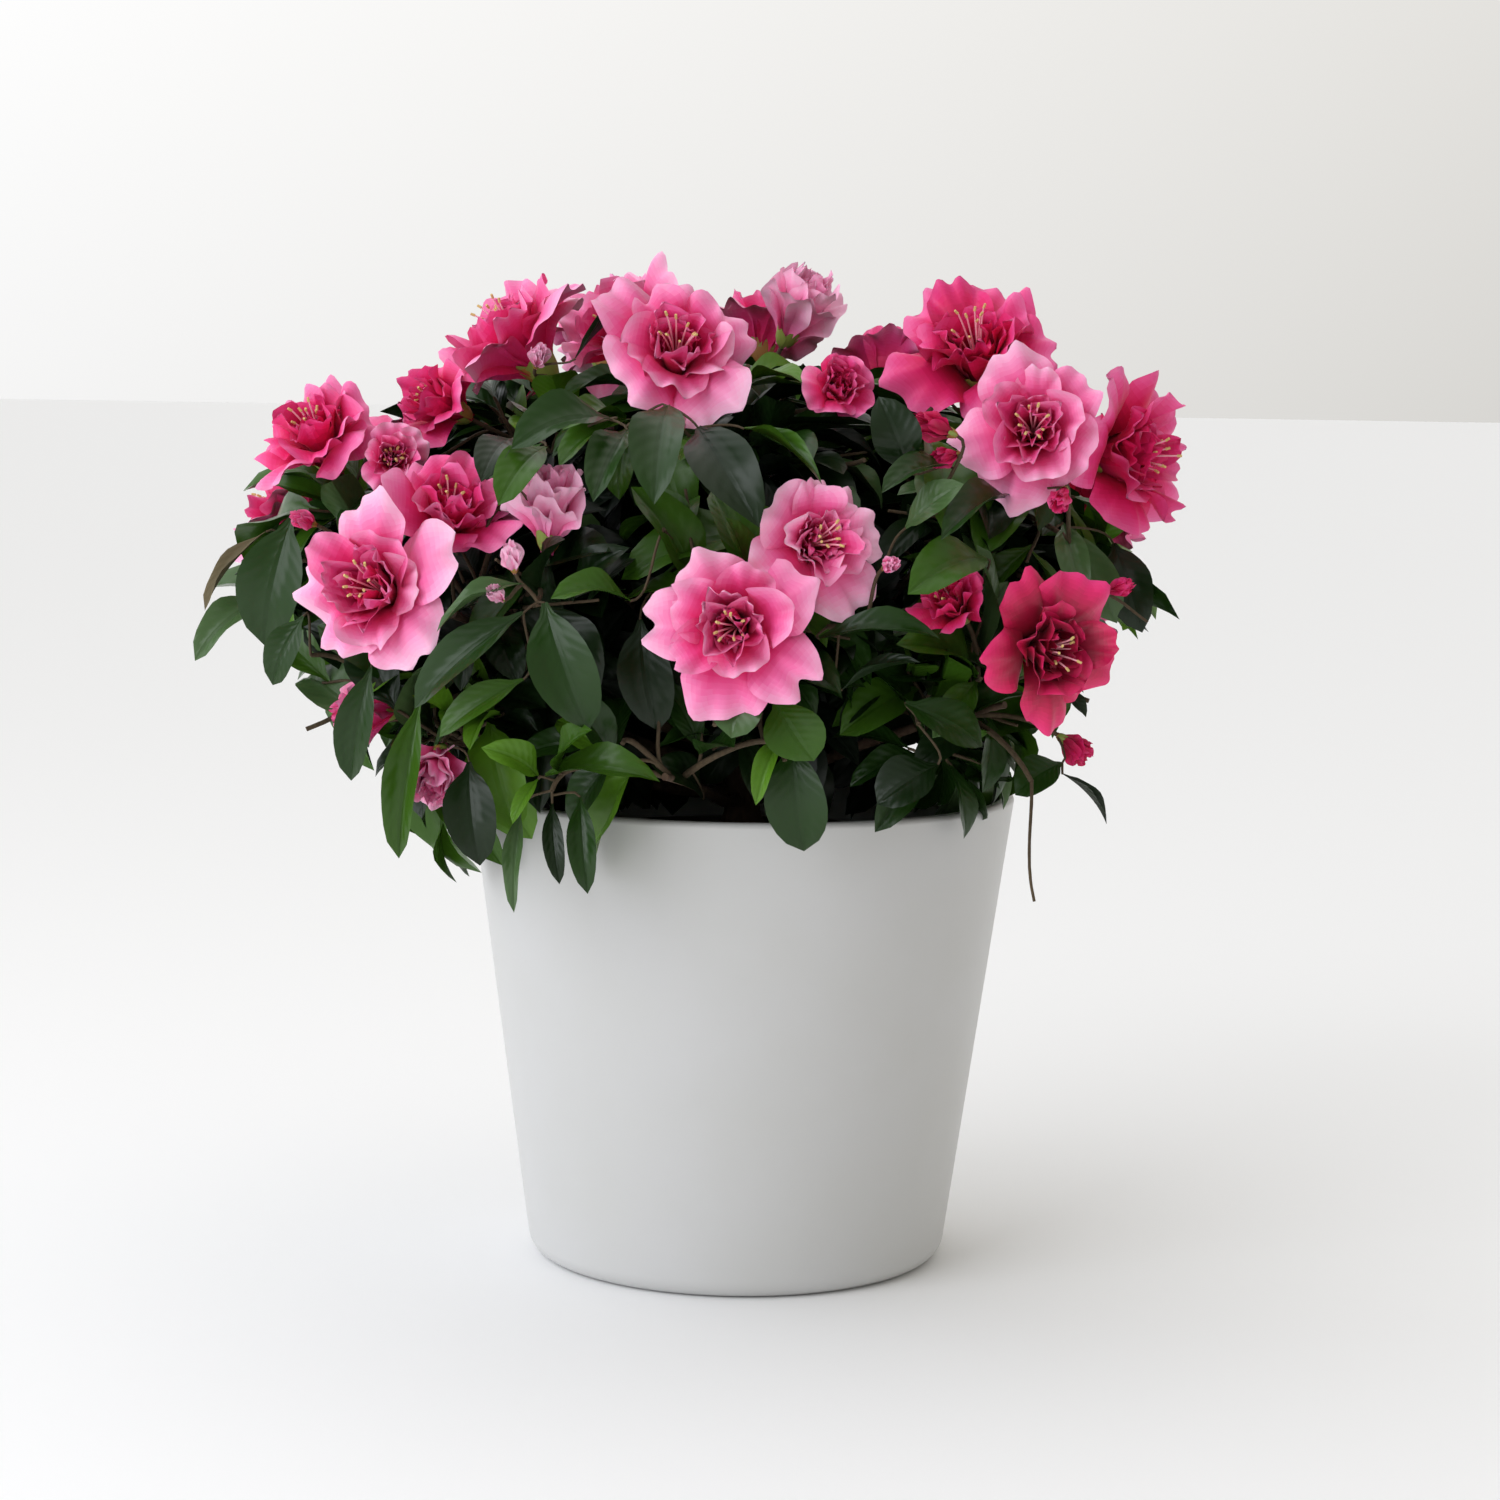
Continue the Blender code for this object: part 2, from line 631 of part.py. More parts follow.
def surface_samples(item):
    """The corners of a solid with the middles of its edges and faces."""
    corners = [v.co for v in item.data.vertices]
    edges = [(corners[e.vertices[0]] + corners[e.vertices[1]]) / 2 for e in item.data.edges]
    return corners + edges + [face.center for face in item.data.polygons]


def make_flower(label, mass, flower, space, collection):
    """One flower as large as its space allows, up to its own width. Returns points over it."""
    _, place, width, bearing, elevation, opened = flower
    direction = facing(bearing, elevation)
    base = Vector(place) * MM - direction * (TUBE_DEPTH * width * MM / 2)
    twist = random.Random(label).uniform(0, math.tau)
    size = 1.0
    while size >= SMALLEST_FIT:
        radius = width * MM / 2 * size
        centre = base + direction * TUBE_DEPTH * radius
        item = corolla(f"{label}_flower", centre, direction, radius, opened, twist, collection)
        samples = surface_samples(item)
        if space.takes(samples, mass, FLOWERS_PROUD):
            return samples
        bpy.data.objects.remove(item)
        size -= 0.05
    return []


def leaf_way(limb, flowering, i, turn, rng):
    """The root, direction and upper side of the next leaf, whorled back from the end by the golden angle."""
    first = 4 * MM if flowering else 0
    root, along, _ = limb.at(max(0.1, 1 - (first + i * LEAF_STEP) / limb.length()))
    across, up = flower_frame(along, turn + i * GOLDEN_ANGLE)
    spread = math.radians(rng.uniform(62, 88) if flowering else rng.uniform(25, 75))
    way = along * math.cos(spread) + across * math.sin(spread)
    way.z -= rng.uniform(0.05, 0.38)
    return root, way.normalized(), Vector((0, 0, 1)) * 0.7 + (root - CROWN_CENTRE).normalized() * 0.5


def make_leaves(mass, limb, flowering, label, space, taken, collection):
    """The leaves of one shoot, as large as their room allows. Their points are added to those taken."""
    rng = random.Random(f"{label} leaves")
    turn = rng.uniform(0, math.tau)
    left = LEAVES_UNDER_FLOWER if flowering else LEAVES_PER_SHOOT
    for i in range(LEAF_TRIES):
        root, way, above = leaf_way(limb, flowering, i, turn, rng)
        for size in LEAF_SIZES:
            tip = root + way * LEAF_LENGTH * size
            width, arch = LEAF_WIDTH * size, 0.09 * LEAF_LENGTH * size
            samples = blade_samples(root, tip, above, width, arch)
            outer = np.array([tuple(p) for p in samples[10:]])
            apart = np.linalg.norm(outer[:, None] - np.array(taken)[None], axis=2).min() if taken else 1
            if left and apart > LEAF_APART and space.takes(samples, mass):
                base = root - way * LEAF_ROOT_SUNK
                blade(f"{label}_leaf_{i}", base, tip, above, width, LEAF_THICKNESS, arch, collection)
                taken.extend(tuple(p) for p in outer)
                left -= 1
                break


def as_mesh(item, collection):
    """A curve object made a mesh object, its loose caps welded to its sides."""
    bpy.context.view_layer.update()
    graph = bpy.context.evaluated_depsgraph_get()
    mesh = bpy.data.meshes.new_from_object(item.evaluated_get(graph))
    shape = bmesh.new()
    shape.from_mesh(mesh)
    bmesh.ops.remove_doubles(shape, verts=shape.verts, dist=0.01 * MM)
    bmesh.ops.recalc_face_normals(shape, faces=shape.faces)
    shape.to_mesh(mesh)
    shape.free()
    solid = bpy.data.objects.new(f"{item.name}_solid", mesh)
    solid.matrix_world = item.matrix_world
    collection.objects.link(solid)
    bpy.data.objects.remove(item)
    return solid


def twig_section():
    """A triangle of unit radius, the section of every twig."""
    curve = bpy.data.curves.new("twig_section", "CURVE")
    curve.dimensions = "2D"
    curve.fill_mode = "NONE"
    spline = curve.splines.new("POLY")
    spline.points.add(2)
    for i, knot in enumerate(spline.points):
        angle = math.tau * i / 3
        knot.co = (math.cos(angle), math.sin(angle), 0, 1)
    spline.use_cyclic_u = True
    item = bpy.data.objects.new("twig_section", curve)
    bpy.context.scene.collection.objects.link(item)
    item.hide_render = True
    item.display_type = "WIRE"
    return item


def keep_largest_shell(mesh):
    """Drops loose scraps and fills sealed hollows, by keeping only the shell with the most volume."""
    shape = bmesh.new()
    shape.from_mesh(mesh)
    bmesh.ops.dissolve_degenerate(shape, dist=SHORTEST_EDGE, edges=shape.edges)
    bmesh.ops.triangulate(shape, faces=shape.faces)
    waiting = set(shape.faces)
    kept, most = set(), 0
    while waiting:
        shell, edge_of_walk = set(), [waiting.pop()]
        while edge_of_walk:
            face = edge_of_walk.pop()
            shell.add(face)
            joints = [edge for edge in face.edges if len(edge.link_faces) == 2]
            beside = {other for edge in joints for other in edge.link_faces} & waiting
            waiting -= beside
            edge_of_walk.extend(beside)
        volume = sum(f.verts[0].co.dot(f.verts[1].co.cross(f.verts[2].co)) for f in shell) / 6
        if volume > most:
            kept, most = shell, volume
    bmesh.ops.delete(shape, geom=[face for face in shape.faces if face not in kept], context="FACES")
    shape.to_mesh(mesh)
    shape.free()


def join(name, base, pieces, collection):
    """Unites the base with every object of the pieces' collection, and removes them."""
    union = base.modifiers.new("Join", "BOOLEAN")
    union.operation = "UNION"
    union.operand_type = "COLLECTION"
    union.collection = pieces
    union.solver = "MANIFOLD"
    fewer = base.modifiers.new("Fewer", "DECIMATE")
    fewer.use_collapse_triangulate = True
    fewer.ratio = KEPT_FACES
    bpy.context.view_layer.update()
    graph = bpy.context.evaluated_depsgraph_get()
    mesh = bpy.data.meshes.new_from_object(base.evaluated_get(graph))
    keep_largest_shell(mesh)
    mesh.name = name
    item = bpy.data.objects.new(name, mesh)
    collection.objects.link(item)
    for piece in list(pieces.objects):
        bpy.data.objects.remove(piece)
    bpy.data.objects.remove(base)
    bpy.data.collections.remove(pieces)
    return item


def make_mass(name, stem, shoots, space, section, collection):
    """One mass of foliage: its stem, shoots, leaves and flowers, joined into one solid."""
    pieces = new_collection(f"{name}_pieces")
    base = as_mesh(tube(f"{name}_base", stem.points, stem.radii, collection, section), collection)
    taken = []
    for _, label, twig, flower in shoots:
        as_mesh(tube(label, twig.points, twig.radii, pieces, section), pieces)
        if flower:
            taken.extend(tuple(p) for p in make_flower(label, name, flower, space, pieces))
    for _, label, twig, flower in shoots:
        make_leaves(name, twig, flower is not None, label, space, taken, pieces)
    item = join(f"foliage_{name}", base, pieces, collection)
    item.data.materials.clear()
    item.data.materials.append(finish("foliage"))


def main():
    clear_scene()
    azalea = new_collection("azalea")
    make_pot(azalea)
    make_compost(azalea)
    make_stem(azalea)
    forks = fork_heights()
    boughs = {name: bough(name, forks[name]) for name in HEARTS}
    for name, limb in boughs.items():
        item = tube(f"bough_{name}", limb.points, limb.radii, azalea)
        item.data.materials.append(finish("bark"))
    stems = {name: mass_stem(name, boughs[name]) for name in HEARTS}
    trunk = Limb([stem_axis(0), stem_axis(STEM_HEIGHT)], [STEM_FOOT_RADIUS, STEM_RADIUS])
    space = Space([trunk, *boughs.values()], stems.values())
    shoots = grow_shoots(stems, space)
    section = twig_section()
    for name in HEARTS:
        own = [entry for entry in shoots if entry[0] == name]
        make_mass(name, stems[name], own, space, section, azalea)


main()
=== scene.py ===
# %% [markdown]
# # A potted azalea, dressed over its frame
# The plant is a pink double azalea, sold in bloom in a plain white pot. The frame holds its pot, its
# compost, its short stem, sixteen boughs and sixteen masses of foliage at their real size. This lesson
# makes what the eye sees in their place: glaze, peat, bark, leaves and petals. It starts by loading the
# frame and keeping its box, which is printed at the end.

# %% Load the frame
import json
import math
import random

import bmesh
import bpy
import numpy as np
from mathutils import Matrix, Quaternion, Vector, noise

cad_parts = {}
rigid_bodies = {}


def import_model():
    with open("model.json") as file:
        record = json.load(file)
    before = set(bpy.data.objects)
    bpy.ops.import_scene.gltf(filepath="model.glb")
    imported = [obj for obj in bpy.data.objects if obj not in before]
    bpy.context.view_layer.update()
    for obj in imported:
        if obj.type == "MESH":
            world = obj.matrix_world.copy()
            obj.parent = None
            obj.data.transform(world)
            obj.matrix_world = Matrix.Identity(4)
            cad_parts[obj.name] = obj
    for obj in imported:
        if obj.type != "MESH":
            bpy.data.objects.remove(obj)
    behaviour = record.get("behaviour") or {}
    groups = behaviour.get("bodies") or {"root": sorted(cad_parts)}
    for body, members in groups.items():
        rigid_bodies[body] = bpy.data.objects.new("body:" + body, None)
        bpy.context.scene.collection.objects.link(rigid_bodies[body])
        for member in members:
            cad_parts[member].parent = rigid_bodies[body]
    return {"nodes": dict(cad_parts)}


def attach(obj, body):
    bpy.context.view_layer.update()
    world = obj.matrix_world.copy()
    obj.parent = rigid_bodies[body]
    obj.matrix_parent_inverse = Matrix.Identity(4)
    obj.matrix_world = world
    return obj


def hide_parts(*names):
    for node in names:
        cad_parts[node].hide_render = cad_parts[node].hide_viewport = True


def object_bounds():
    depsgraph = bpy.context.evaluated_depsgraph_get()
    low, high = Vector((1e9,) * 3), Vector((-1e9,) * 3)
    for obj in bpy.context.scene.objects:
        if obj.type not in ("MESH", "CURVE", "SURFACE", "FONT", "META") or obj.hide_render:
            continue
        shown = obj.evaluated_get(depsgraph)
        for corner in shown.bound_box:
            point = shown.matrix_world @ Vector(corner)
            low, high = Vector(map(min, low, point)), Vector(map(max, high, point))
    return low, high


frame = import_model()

MM = 0.001
cad_low, cad_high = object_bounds()
cad_size = [round((b - a) / MM) for a, b in zip(cad_low, cad_high)]
print("frame", len(frame["nodes"]), "nodes, box in mm", cad_size)

# %% [markdown]
# ## The camera
# The rim and the foot of the pot are two circles of known size, so how much they are flattened in the
# photograph gives the camera's height and distance. It stands a metre away, a little above the rim, and
# looks down by about six degrees with a slight roll. It is made first, so that every piece can be judged
# from where it stands.

# %% Camera
CAMERA_PLACE = (0.0021, -1.068, 0.279)
CAMERA_LENS = 82.25  # millimetres, for a sensor 36 mm wide
CAMERA_DIP = 6.41  # degrees
CAMERA_ROLL = 0.915  # degrees

camera = bpy.data.objects.new("camera", bpy.data.cameras.new("camera"))
camera.data.sensor_width = 36
camera.data.lens = CAMERA_LENS
pitch = Matrix.Rotation(math.radians(90 - CAMERA_DIP), 4, "X")
roll = Matrix.Rotation(math.radians(CAMERA_ROLL), 4, "Z")
camera.matrix_world = Matrix.Translation(CAMERA_PLACE) @ pitch @ roll
bpy.context.scene.collection.objects.link(camera)
bpy.context.scene.camera = camera
print("camera at", tuple(round(x, 3) for x in camera.location))

# %% [markdown]
# ## Helpers for nodes
# Colours are picked as sRGB hex values, as in any paint program, but a renderer adds light up in linear
# values, so one function turns one into the other. Every material and every Geometry Nodes tree below is
# built with the second function: it adds a node, and each setting is one of the node's own properties, a
# plain value for one of its sockets, or another node to link that socket to. The few short ones after it
# say what the materials say most often: work out a value, mix two colours by a share, draw a noise in
# patches, and stand a height out in relief.

# %% Helpers for colours and nodes
def linear(code):
    """An sRGB hex colour as linear red, green, blue and alpha."""
    parts = [int(code[i:i + 2], 16) / 255 for i in (1, 3, 5)]
    return (*[p / 12.92 if p <= 0.04045 else ((p + 0.055) / 1.055) ** 2.4 for p in parts], 1)


def add(tree, kind, settings):
    """Adds a node to the tree. A setting is a property, or an input by its name or place."""
    node = tree.nodes.new(kind)
    for key, value in settings.items():
        if isinstance(key, str) and key in node.bl_rna.properties:
            setattr(node, key, value)
            continue
        if isinstance(value, bpy.types.Node):
            value = value.outputs[0]
        if isinstance(value, bpy.types.NodeSocket):
            tree.links.new(value, node.inputs[key])
        else:
            node.inputs[key].default_value = value
    return node


def worked(tree, operation, *values):
    """A node that works one value out of others."""
    return add(tree, "ShaderNodeMath", {"operation": operation, **dict(enumerate(values))})


def blend(tree, share, first, second, socket):
    """Mixes a socket's colour from two sRGB hex colours, by a share from 0 to 1."""
    mix = add(tree, "ShaderNodeMix", {"data_type": "RGBA", "Factor": share})
    mix.inputs[6].default_value = linear(first)
    mix.inputs[7].default_value = linear(second)
    tree.links.new(mix.outputs[2], socket)


def patches(tree, place, size, detail):
    """A noise from 0 to 1, in patches of about this size."""
    cloud = add(tree, "ShaderNodeTexNoise", {"Vector": place, "Scale": 1 / size, "Detail": detail})
    return cloud.outputs["Fac"]


def emboss(tree, shader, height, strength, distance):
    """Stands a height out in relief on a shader's surface."""
    bump = add(tree, "ShaderNodeBump", {"Strength": strength, "Distance": distance, "Height": height})
    tree.links.new(bump.outputs[0], shader.inputs["Normal"])


def surface(name, colour, **settings):
    """A new material of one Principled shader. Returns the material, its tree and the shader."""
    material = bpy.data.materials.new(name)
    material.use_nodes = True
    tree = material.node_tree
    tree.nodes.clear()
    shader = add(tree, "ShaderNodeBsdfPrincipled", {"Base Color": linear(colour)})
    for label, value in settings.items():
        shader.inputs[label.replace("_", " ")].default_value = value
    add(tree, "ShaderNodeOutputMaterial", {"Surface": shader})
    material.diffuse_color = linear(colour)
    return material, tree, shader


print("pink as linear values", [round(x, 3) for x in linear("#EE7FB0")])

# %% [markdown]
# ## Light and floor
# The plant stood by a window on its left: the pot is pale on that side and falls to a warm grey on the
# other, and no shadow has an edge. A pale sky that is brighter above and on the left gives that, and a
# large soft panel at the window adds the dull shine on the leaves. The floor is a plain pale sheet.

# %% Light and floor
SKY_SLOPE = (-0.6, 0.5, 0.75)  # the sky brightens this way: to the left, behind the plant and above
SKY_LEVEL = 0.36
SKY_LEAST = 0.42
FLOOR_HALF = 20  # metres, so that its edge lies near the horizon

bpy.context.scene.view_settings.view_transform = "Standard"
world = bpy.data.worlds.new("studio")
world.use_nodes = True
studio = world.node_tree
sky = studio.nodes["Background"]
way = add(studio, "ShaderNodeTexCoord", {}).outputs["Generated"]
slope = add(studio, "ShaderNodeVectorMath", {"operation": "DOT_PRODUCT", 0: way, 1: SKY_SLOPE})
lit = worked(studio, "MAXIMUM", worked(studio, "ADD", slope.outputs["Value"], SKY_LEVEL), SKY_LEAST)
studio.links.new(lit.outputs[0], sky.inputs["Strength"])
aside = add(studio, "ShaderNodeSeparateXYZ", {0: way}).outputs["X"]
share = add(studio, "ShaderNodeMapRange", {"Value": aside, "From Min": -1.0, "From Max": 1.0})
blend(studio, share, "#F5F8FF", "#FFFAEE", sky.inputs["Color"])
bpy.context.scene.world = world


def panel(name, place, target, size, power, colour):
    """A square soft light that faces its target."""
    lamp = bpy.data.lights.new(name, "AREA")
    lamp.size = size
    lamp.energy = power
    lamp.color = linear(colour)[:3]
    item = bpy.data.objects.new(name, lamp)
    item.location = place
    item.rotation_euler = (Vector(target) - Vector(place)).to_track_quat("-Z", "Y").to_euler()
    bpy.context.scene.collection.objects.link(item)


panel("window", (-1.05, -1.05, 0.8), (0, 0, 0.16), 1.1, 11, "#F6F9FF")


def plain_sheet(name, half, height):
    mesh = bpy.data.meshes.new(name)
    corners = [(x * half, y * half, height) for x, y in ((-1, -1), (1, -1), (1, 1), (-1, 1))]
    mesh.from_pydata(corners, [], [(0, 1, 2, 3)])
    item = bpy.data.objects.new(name, mesh)
    bpy.context.scene.collection.objects.link(item)
    return item


floor = plain_sheet("floor", FLOOR_HALF, 0)
floor.data.materials.append(surface("pale_paper", "#FAFAFA", Roughness=0.9)[0])
print("floor of", floor.dimensions.x, "m")

# %% [markdown]
# ## Geometry Nodes trees, and how they become plain meshes
# What repeats or follows a rule is made by Geometry Nodes: the turned pot, the limbs, the leaves and the
# crumbs of peat. Each tree gets named inputs. Its modifier's inputs are set by their identifiers before
# the object is first evaluated, and the result is then read back as a plain mesh, because a finished
# piece may hold no live instances.

# %% Helpers for trees
def new_tree(name, inputs):
    """A Geometry Nodes tree with named inputs after its geometry. Returns it with its two end nodes."""
    tree = bpy.data.node_groups.new(name, "GeometryNodeTree")
    tree.interface.new_socket("Geometry", in_out="INPUT", socket_type="NodeSocketGeometry")
    for label, kind in inputs.items():
        tree.interface.new_socket(label, in_out="INPUT", socket_type=f"NodeSocket{kind}")
    tree.interface.new_socket("Geometry", in_out="OUTPUT", socket_type="NodeSocketGeometry")
    return tree, tree.nodes.new("NodeGroupInput"), tree.nodes.new("NodeGroupOutput")


def grow(name, source, tree, values):
    """Runs a tree on a mesh, and returns an object that holds the result as a plain mesh."""
    item = bpy.data.objects.new(name, source)
    bpy.context.scene.collection.objects.link(item)
    modifier = item.modifiers.new("rule", "NODES")
    modifier.node_group = tree
    for socket in tree.interface.items_tree:
        if socket.in_out == "INPUT" and socket.name in values:
            modifier[socket.identifier] = values[socket.name]
    graph = bpy.context.evaluated_depsgraph_get()
    mesh = bpy.data.meshes.new_from_object(item.evaluated_get(graph))
    item.modifiers.remove(modifier)
    item.data = mesh
    mesh.name = name
    for label in ("thickness", "turn", "size", "form", "tone"):
        if label in mesh.attributes:
            mesh.attributes.remove(mesh.attributes[label])
    print(name, len(mesh.polygons), "faces")
    return item


def paint(tree, shape, start, end):
    """Gives a tree's result the material from its inputs, and leads it out."""
    painted = add(tree, "GeometryNodeSetMaterial", {"Geometry": shape, "Material": start.outputs["Material"]})
    tree.links.new(painted.outputs[0], end.inputs["Geometry"])


def wheel_tree():
    """Turns a profile, given as points with radius as X and height as Z, round the Z axis.

    Known fault: the flip leaves the faces of these profiles pointing inwards.
    """
    tree, start, end = new_tree("turned on a wheel", {"Sides": "Int", "Material": "Material"})
    count = add(tree, "GeometryNodeAttributeDomainSize", {"Geometry": start.outputs["Geometry"]})
    rows = worked(tree, "SUBTRACT", count.outputs["Point Count"], 1.0)
    columns = worked(tree, "ADD", start.outputs["Sides"], 1.0)
    grid = add(tree, "GeometryNodeMeshGrid", {"Size X": 1.0, "Size Y": 1.0})
    tree.links.new(count.outputs["Point Count"], grid.inputs["Vertices X"])
    tree.links.new(columns.outputs[0], grid.inputs["Vertices Y"])
    place = add(tree, "ShaderNodeSeparateXYZ", {0: add(tree, "GeometryNodeInputPosition", {})})
    share = worked(tree, "ADD", place.outputs["X"], 0.5)
    index = worked(tree, "FLOOR", worked(tree, "MULTIPLY_ADD", share, rows, 0.5))
    profile = add(tree, "GeometryNodeSampleIndex", {"data_type": "FLOAT_VECTOR", "Index": index})
    tree.links.new(start.outputs["Geometry"], profile.inputs["Geometry"])
    tree.links.new(add(tree, "GeometryNodeInputPosition", {}).outputs[0], profile.inputs["Value"])
    ring = add(tree, "ShaderNodeSeparateXYZ", {0: profile})
    angle = worked(tree, "MULTIPLY", worked(tree, "ADD", place.outputs["Y"], 0.5), math.tau)
    x = worked(tree, "MULTIPLY", ring.outputs["X"], worked(tree, "COSINE", angle))
    y = worked(tree, "MULTIPLY", ring.outputs["X"], worked(tree, "SINE", angle))
    place = add(tree, "ShaderNodeCombineXYZ", {"X": x, "Y": y, "Z": ring.outputs["Z"]})
    turned = add(tree, "GeometryNodeSetPosition", {"Geometry": grid, "Position": place})
    closed = add(tree, "GeometryNodeMergeByDistance", {"Geometry": turned, "Distance": 0.01 * MM})
    flipped = add(tree, "GeometryNodeFlipFaces", {"Mesh": closed})
    smooth = add(tree, "GeometryNodeSetShadeSmooth", {"Geometry": flipped})
    paint(tree, smooth, start, end)
    return tree


wheel = wheel_tree()
print("wheel tree with", len(wheel.nodes), "nodes")

# %% [markdown]
# ## The pot
# The pot is thrown or cast earthenware under a satin white glaze, 170 mm across its rim and 147 mm high.
# Its wall has a small round lip and a rounded foot. A turned shape is one profile swept round an axis, so
# the profile is drawn once, with fine arcs, and the wheel tree turns it. The glaze is white with hardly
# any colour in it, and what tells the eye that it is glazed is a soft gloss and the faint, slow ripple
# that it dries with.

# %% Pot
RIM_RADIUS = 85 * MM
FOOT_RADIUS = 65 * MM
POT_HEIGHT = 147 * MM
POT_WALL = 4.5 * MM
POT_FLOOR = 6 * MM
FOOT_ROUNDING = 7 * MM
LIP_ROUNDING = 1.6 * MM


def arc(centre, radius, start, end, steps):
    angles = [math.radians(start + (end - start) * i / steps) for i in range(steps + 1)]
    return [(centre[0] + radius * math.cos(a), 0, centre[1] + radius * math.sin(a)) for a in angles]


def pot_radius(height):
    return FOOT_RADIUS + (RIM_RADIUS - FOOT_RADIUS) * height / POT_HEIGHT


def satin_white_glaze():
    """Tin-white glaze on earthenware, fired satin: nearly white, with a slow ripple of about 6 mm."""
    material, tree, shader = surface("satin_white_glaze", "#CDCDCC", Roughness=0.36, IOR=1.5)
    place = add(tree, "ShaderNodeTexCoord", {}).outputs["Object"]
    cloud = patches(tree, place, 35 * MM, 2.0)
    blend(tree, cloud, "#CFCFCF", "#CACAC7", shader.inputs["Base Color"])
    emboss(tree, shader, patches(tree, place, 6 * MM, 1.0), 0.12, 0.4 * MM)
    gloss = add(tree, "ShaderNodeMapRange", {"Value": cloud, "To Min": 0.31, "To Max": 0.42})
    tree.links.new(gloss.outputs[0], shader.inputs["Roughness"])
    return material


def line_mesh(name, points):
    mesh = bpy.data.meshes.new(name)
    mesh.from_pydata(points, [(i, i + 1) for i in range(len(points) - 1)], [])
    return mesh


lean = math.degrees(math.atan2(RIM_RADIUS - FOOT_RADIUS, POT_HEIGHT))
foot = (FOOT_RADIUS - FOOT_ROUNDING * math.tan(math.radians(45 - lean / 2)), FOOT_ROUNDING)
profile = [(0, 0, POT_FLOOR), (pot_radius(POT_FLOOR) - POT_WALL, 0, POT_FLOOR)]
profile += arc((RIM_RADIUS - POT_WALL + LIP_ROUNDING, POT_HEIGHT - LIP_ROUNDING), LIP_ROUNDING, 180, 90, 8)
profile += arc((RIM_RADIUS - LIP_ROUNDING, POT_HEIGHT - LIP_ROUNDING), LIP_ROUNDING, 90, -lean, 8)
profile += arc(foot, FOOT_ROUNDING, -lean, -90, 14)
profile += [(0, 0, 0)]
glaze = satin_white_glaze()
pot = grow("glazed_pot", line_mesh("pot_profile", profile), wheel, {"Sides": 160, "Material": glaze})
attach(pot, "root")
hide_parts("pot")


# %% [markdown]
# ## The compost
# Azaleas are potted in coarse acid peat, dark brown and crumbly, a thumb's breadth below the rim. Its
# body is turned like the pot. A second tree scatters a few small crumb shapes by a fixed seed over the
# faces that point up, each turned and sized at random, and makes them real mesh.
#
# Known fault: the flip at the end of the wheel tree leaves the faces of the pot and the compost pointing
# inwards. The faces that point up are then the compost's underside, so the crumbs lie hidden there and
# the top has only its material's grain.

# %% Compost
CLEAR = 0.3 * MM
COMPOST_LEVEL = POT_HEIGHT - 15 * MM
COMPOST_FLAT_RADIUS = 24 * MM
COMPOST_FALL = 4 * MM
CRUMBS_PER_SQUARE_METRE = 120000.0
LARGEST_CRUMB = 4.5 * MM
SMALLEST_CRUMB = 0.25  # of the largest
ANY_TURN = (6.28, 6.28, 6.28)


def coarse_peat():
    """Sphagnum peat: matt, near-black brown with lighter fibres, in grains of about 2 mm."""
    material, tree, shader = surface("coarse_peat", "#33231A", Roughness=0.95)
    place = add(tree, "ShaderNodeTexCoord", {}).outputs["Object"]
    grain = patches(tree, place, 2 * MM, 6.0)
    blend(tree, grain, "#1D130D", "#59402C", shader.inputs["Base Color"])
    emboss(tree, shader, grain, 0.8, 1 * MM)
    return material


def crumb_tree():
    """Scatters crumbs over the upward faces of a mesh, and joins them to it."""
    inputs = {"Crumb": "Object", "Crumbs per square metre": "Float", "Largest": "Float", "Seed": "Int"}
    tree, start, end = new_tree("crumbs of peat", {**inputs, "Material": "Material"})
    normal = add(tree, "ShaderNodeSeparateXYZ", {0: add(tree, "GeometryNodeInputNormal", {})})
    upward = add(tree, "FunctionNodeCompare", {"operation": "GREATER_THAN", 0: normal.outputs["Z"], 1: 0.8})
    spread = add(tree, "GeometryNodeDistributePointsOnFaces", {
        "Mesh": start.outputs["Geometry"], "Selection": upward, "Seed": start.outputs["Seed"],
        "Density": start.outputs["Crumbs per square metre"]})
    crumb = add(tree, "GeometryNodeObjectInfo", {"Object": start.outputs["Crumb"]})
    turn = add(tree, "FunctionNodeRandomValue", {"data_type": "FLOAT_VECTOR", 0: (0, 0, 0), 1: ANY_TURN})
    share = add(tree, "FunctionNodeRandomValue", {"data_type": "FLOAT", 2: SMALLEST_CRUMB, 3: 1.0, "Seed": 3})
    size = worked(tree, "MULTIPLY", share.outputs[1], start.outputs["Largest"])
    rotation = add(tree, "FunctionNodeEulerToRotation", {0: turn.outputs[0]})
    placed = add(tree, "GeometryNodeInstanceOnPoints", {
        "Points": spread, "Instance": crumb.outputs["Geometry"], "Rotation": rotation, "Scale": size})
    real = add(tree, "GeometryNodeRealizeInstances", {0: placed})
    both = tree.nodes.new("GeometryNodeJoinGeometry")
    tree.links.new(start.outputs["Geometry"], both.inputs[0])
    tree.links.new(real.outputs[0], both.inputs[0])
    paint(tree, both, start, end)
    return tree


def crumb_shape():
    shape = bmesh.new()
    bmesh.ops.create_icosphere(shape, subdivisions=1, radius=0.5)
    for corner in shape.verts:
        corner.co *= 1 + 0.5 * noise.noise(corner.co * 3)
        corner.co.z *= 0.7
    mesh = bpy.data.meshes.new("crumb")
    shape.to_mesh(mesh)
    shape.free()
    return bpy.data.objects.new("crumb", mesh)


def inside(height):
    return pot_radius(height) - POT_WALL - 2 * CLEAR


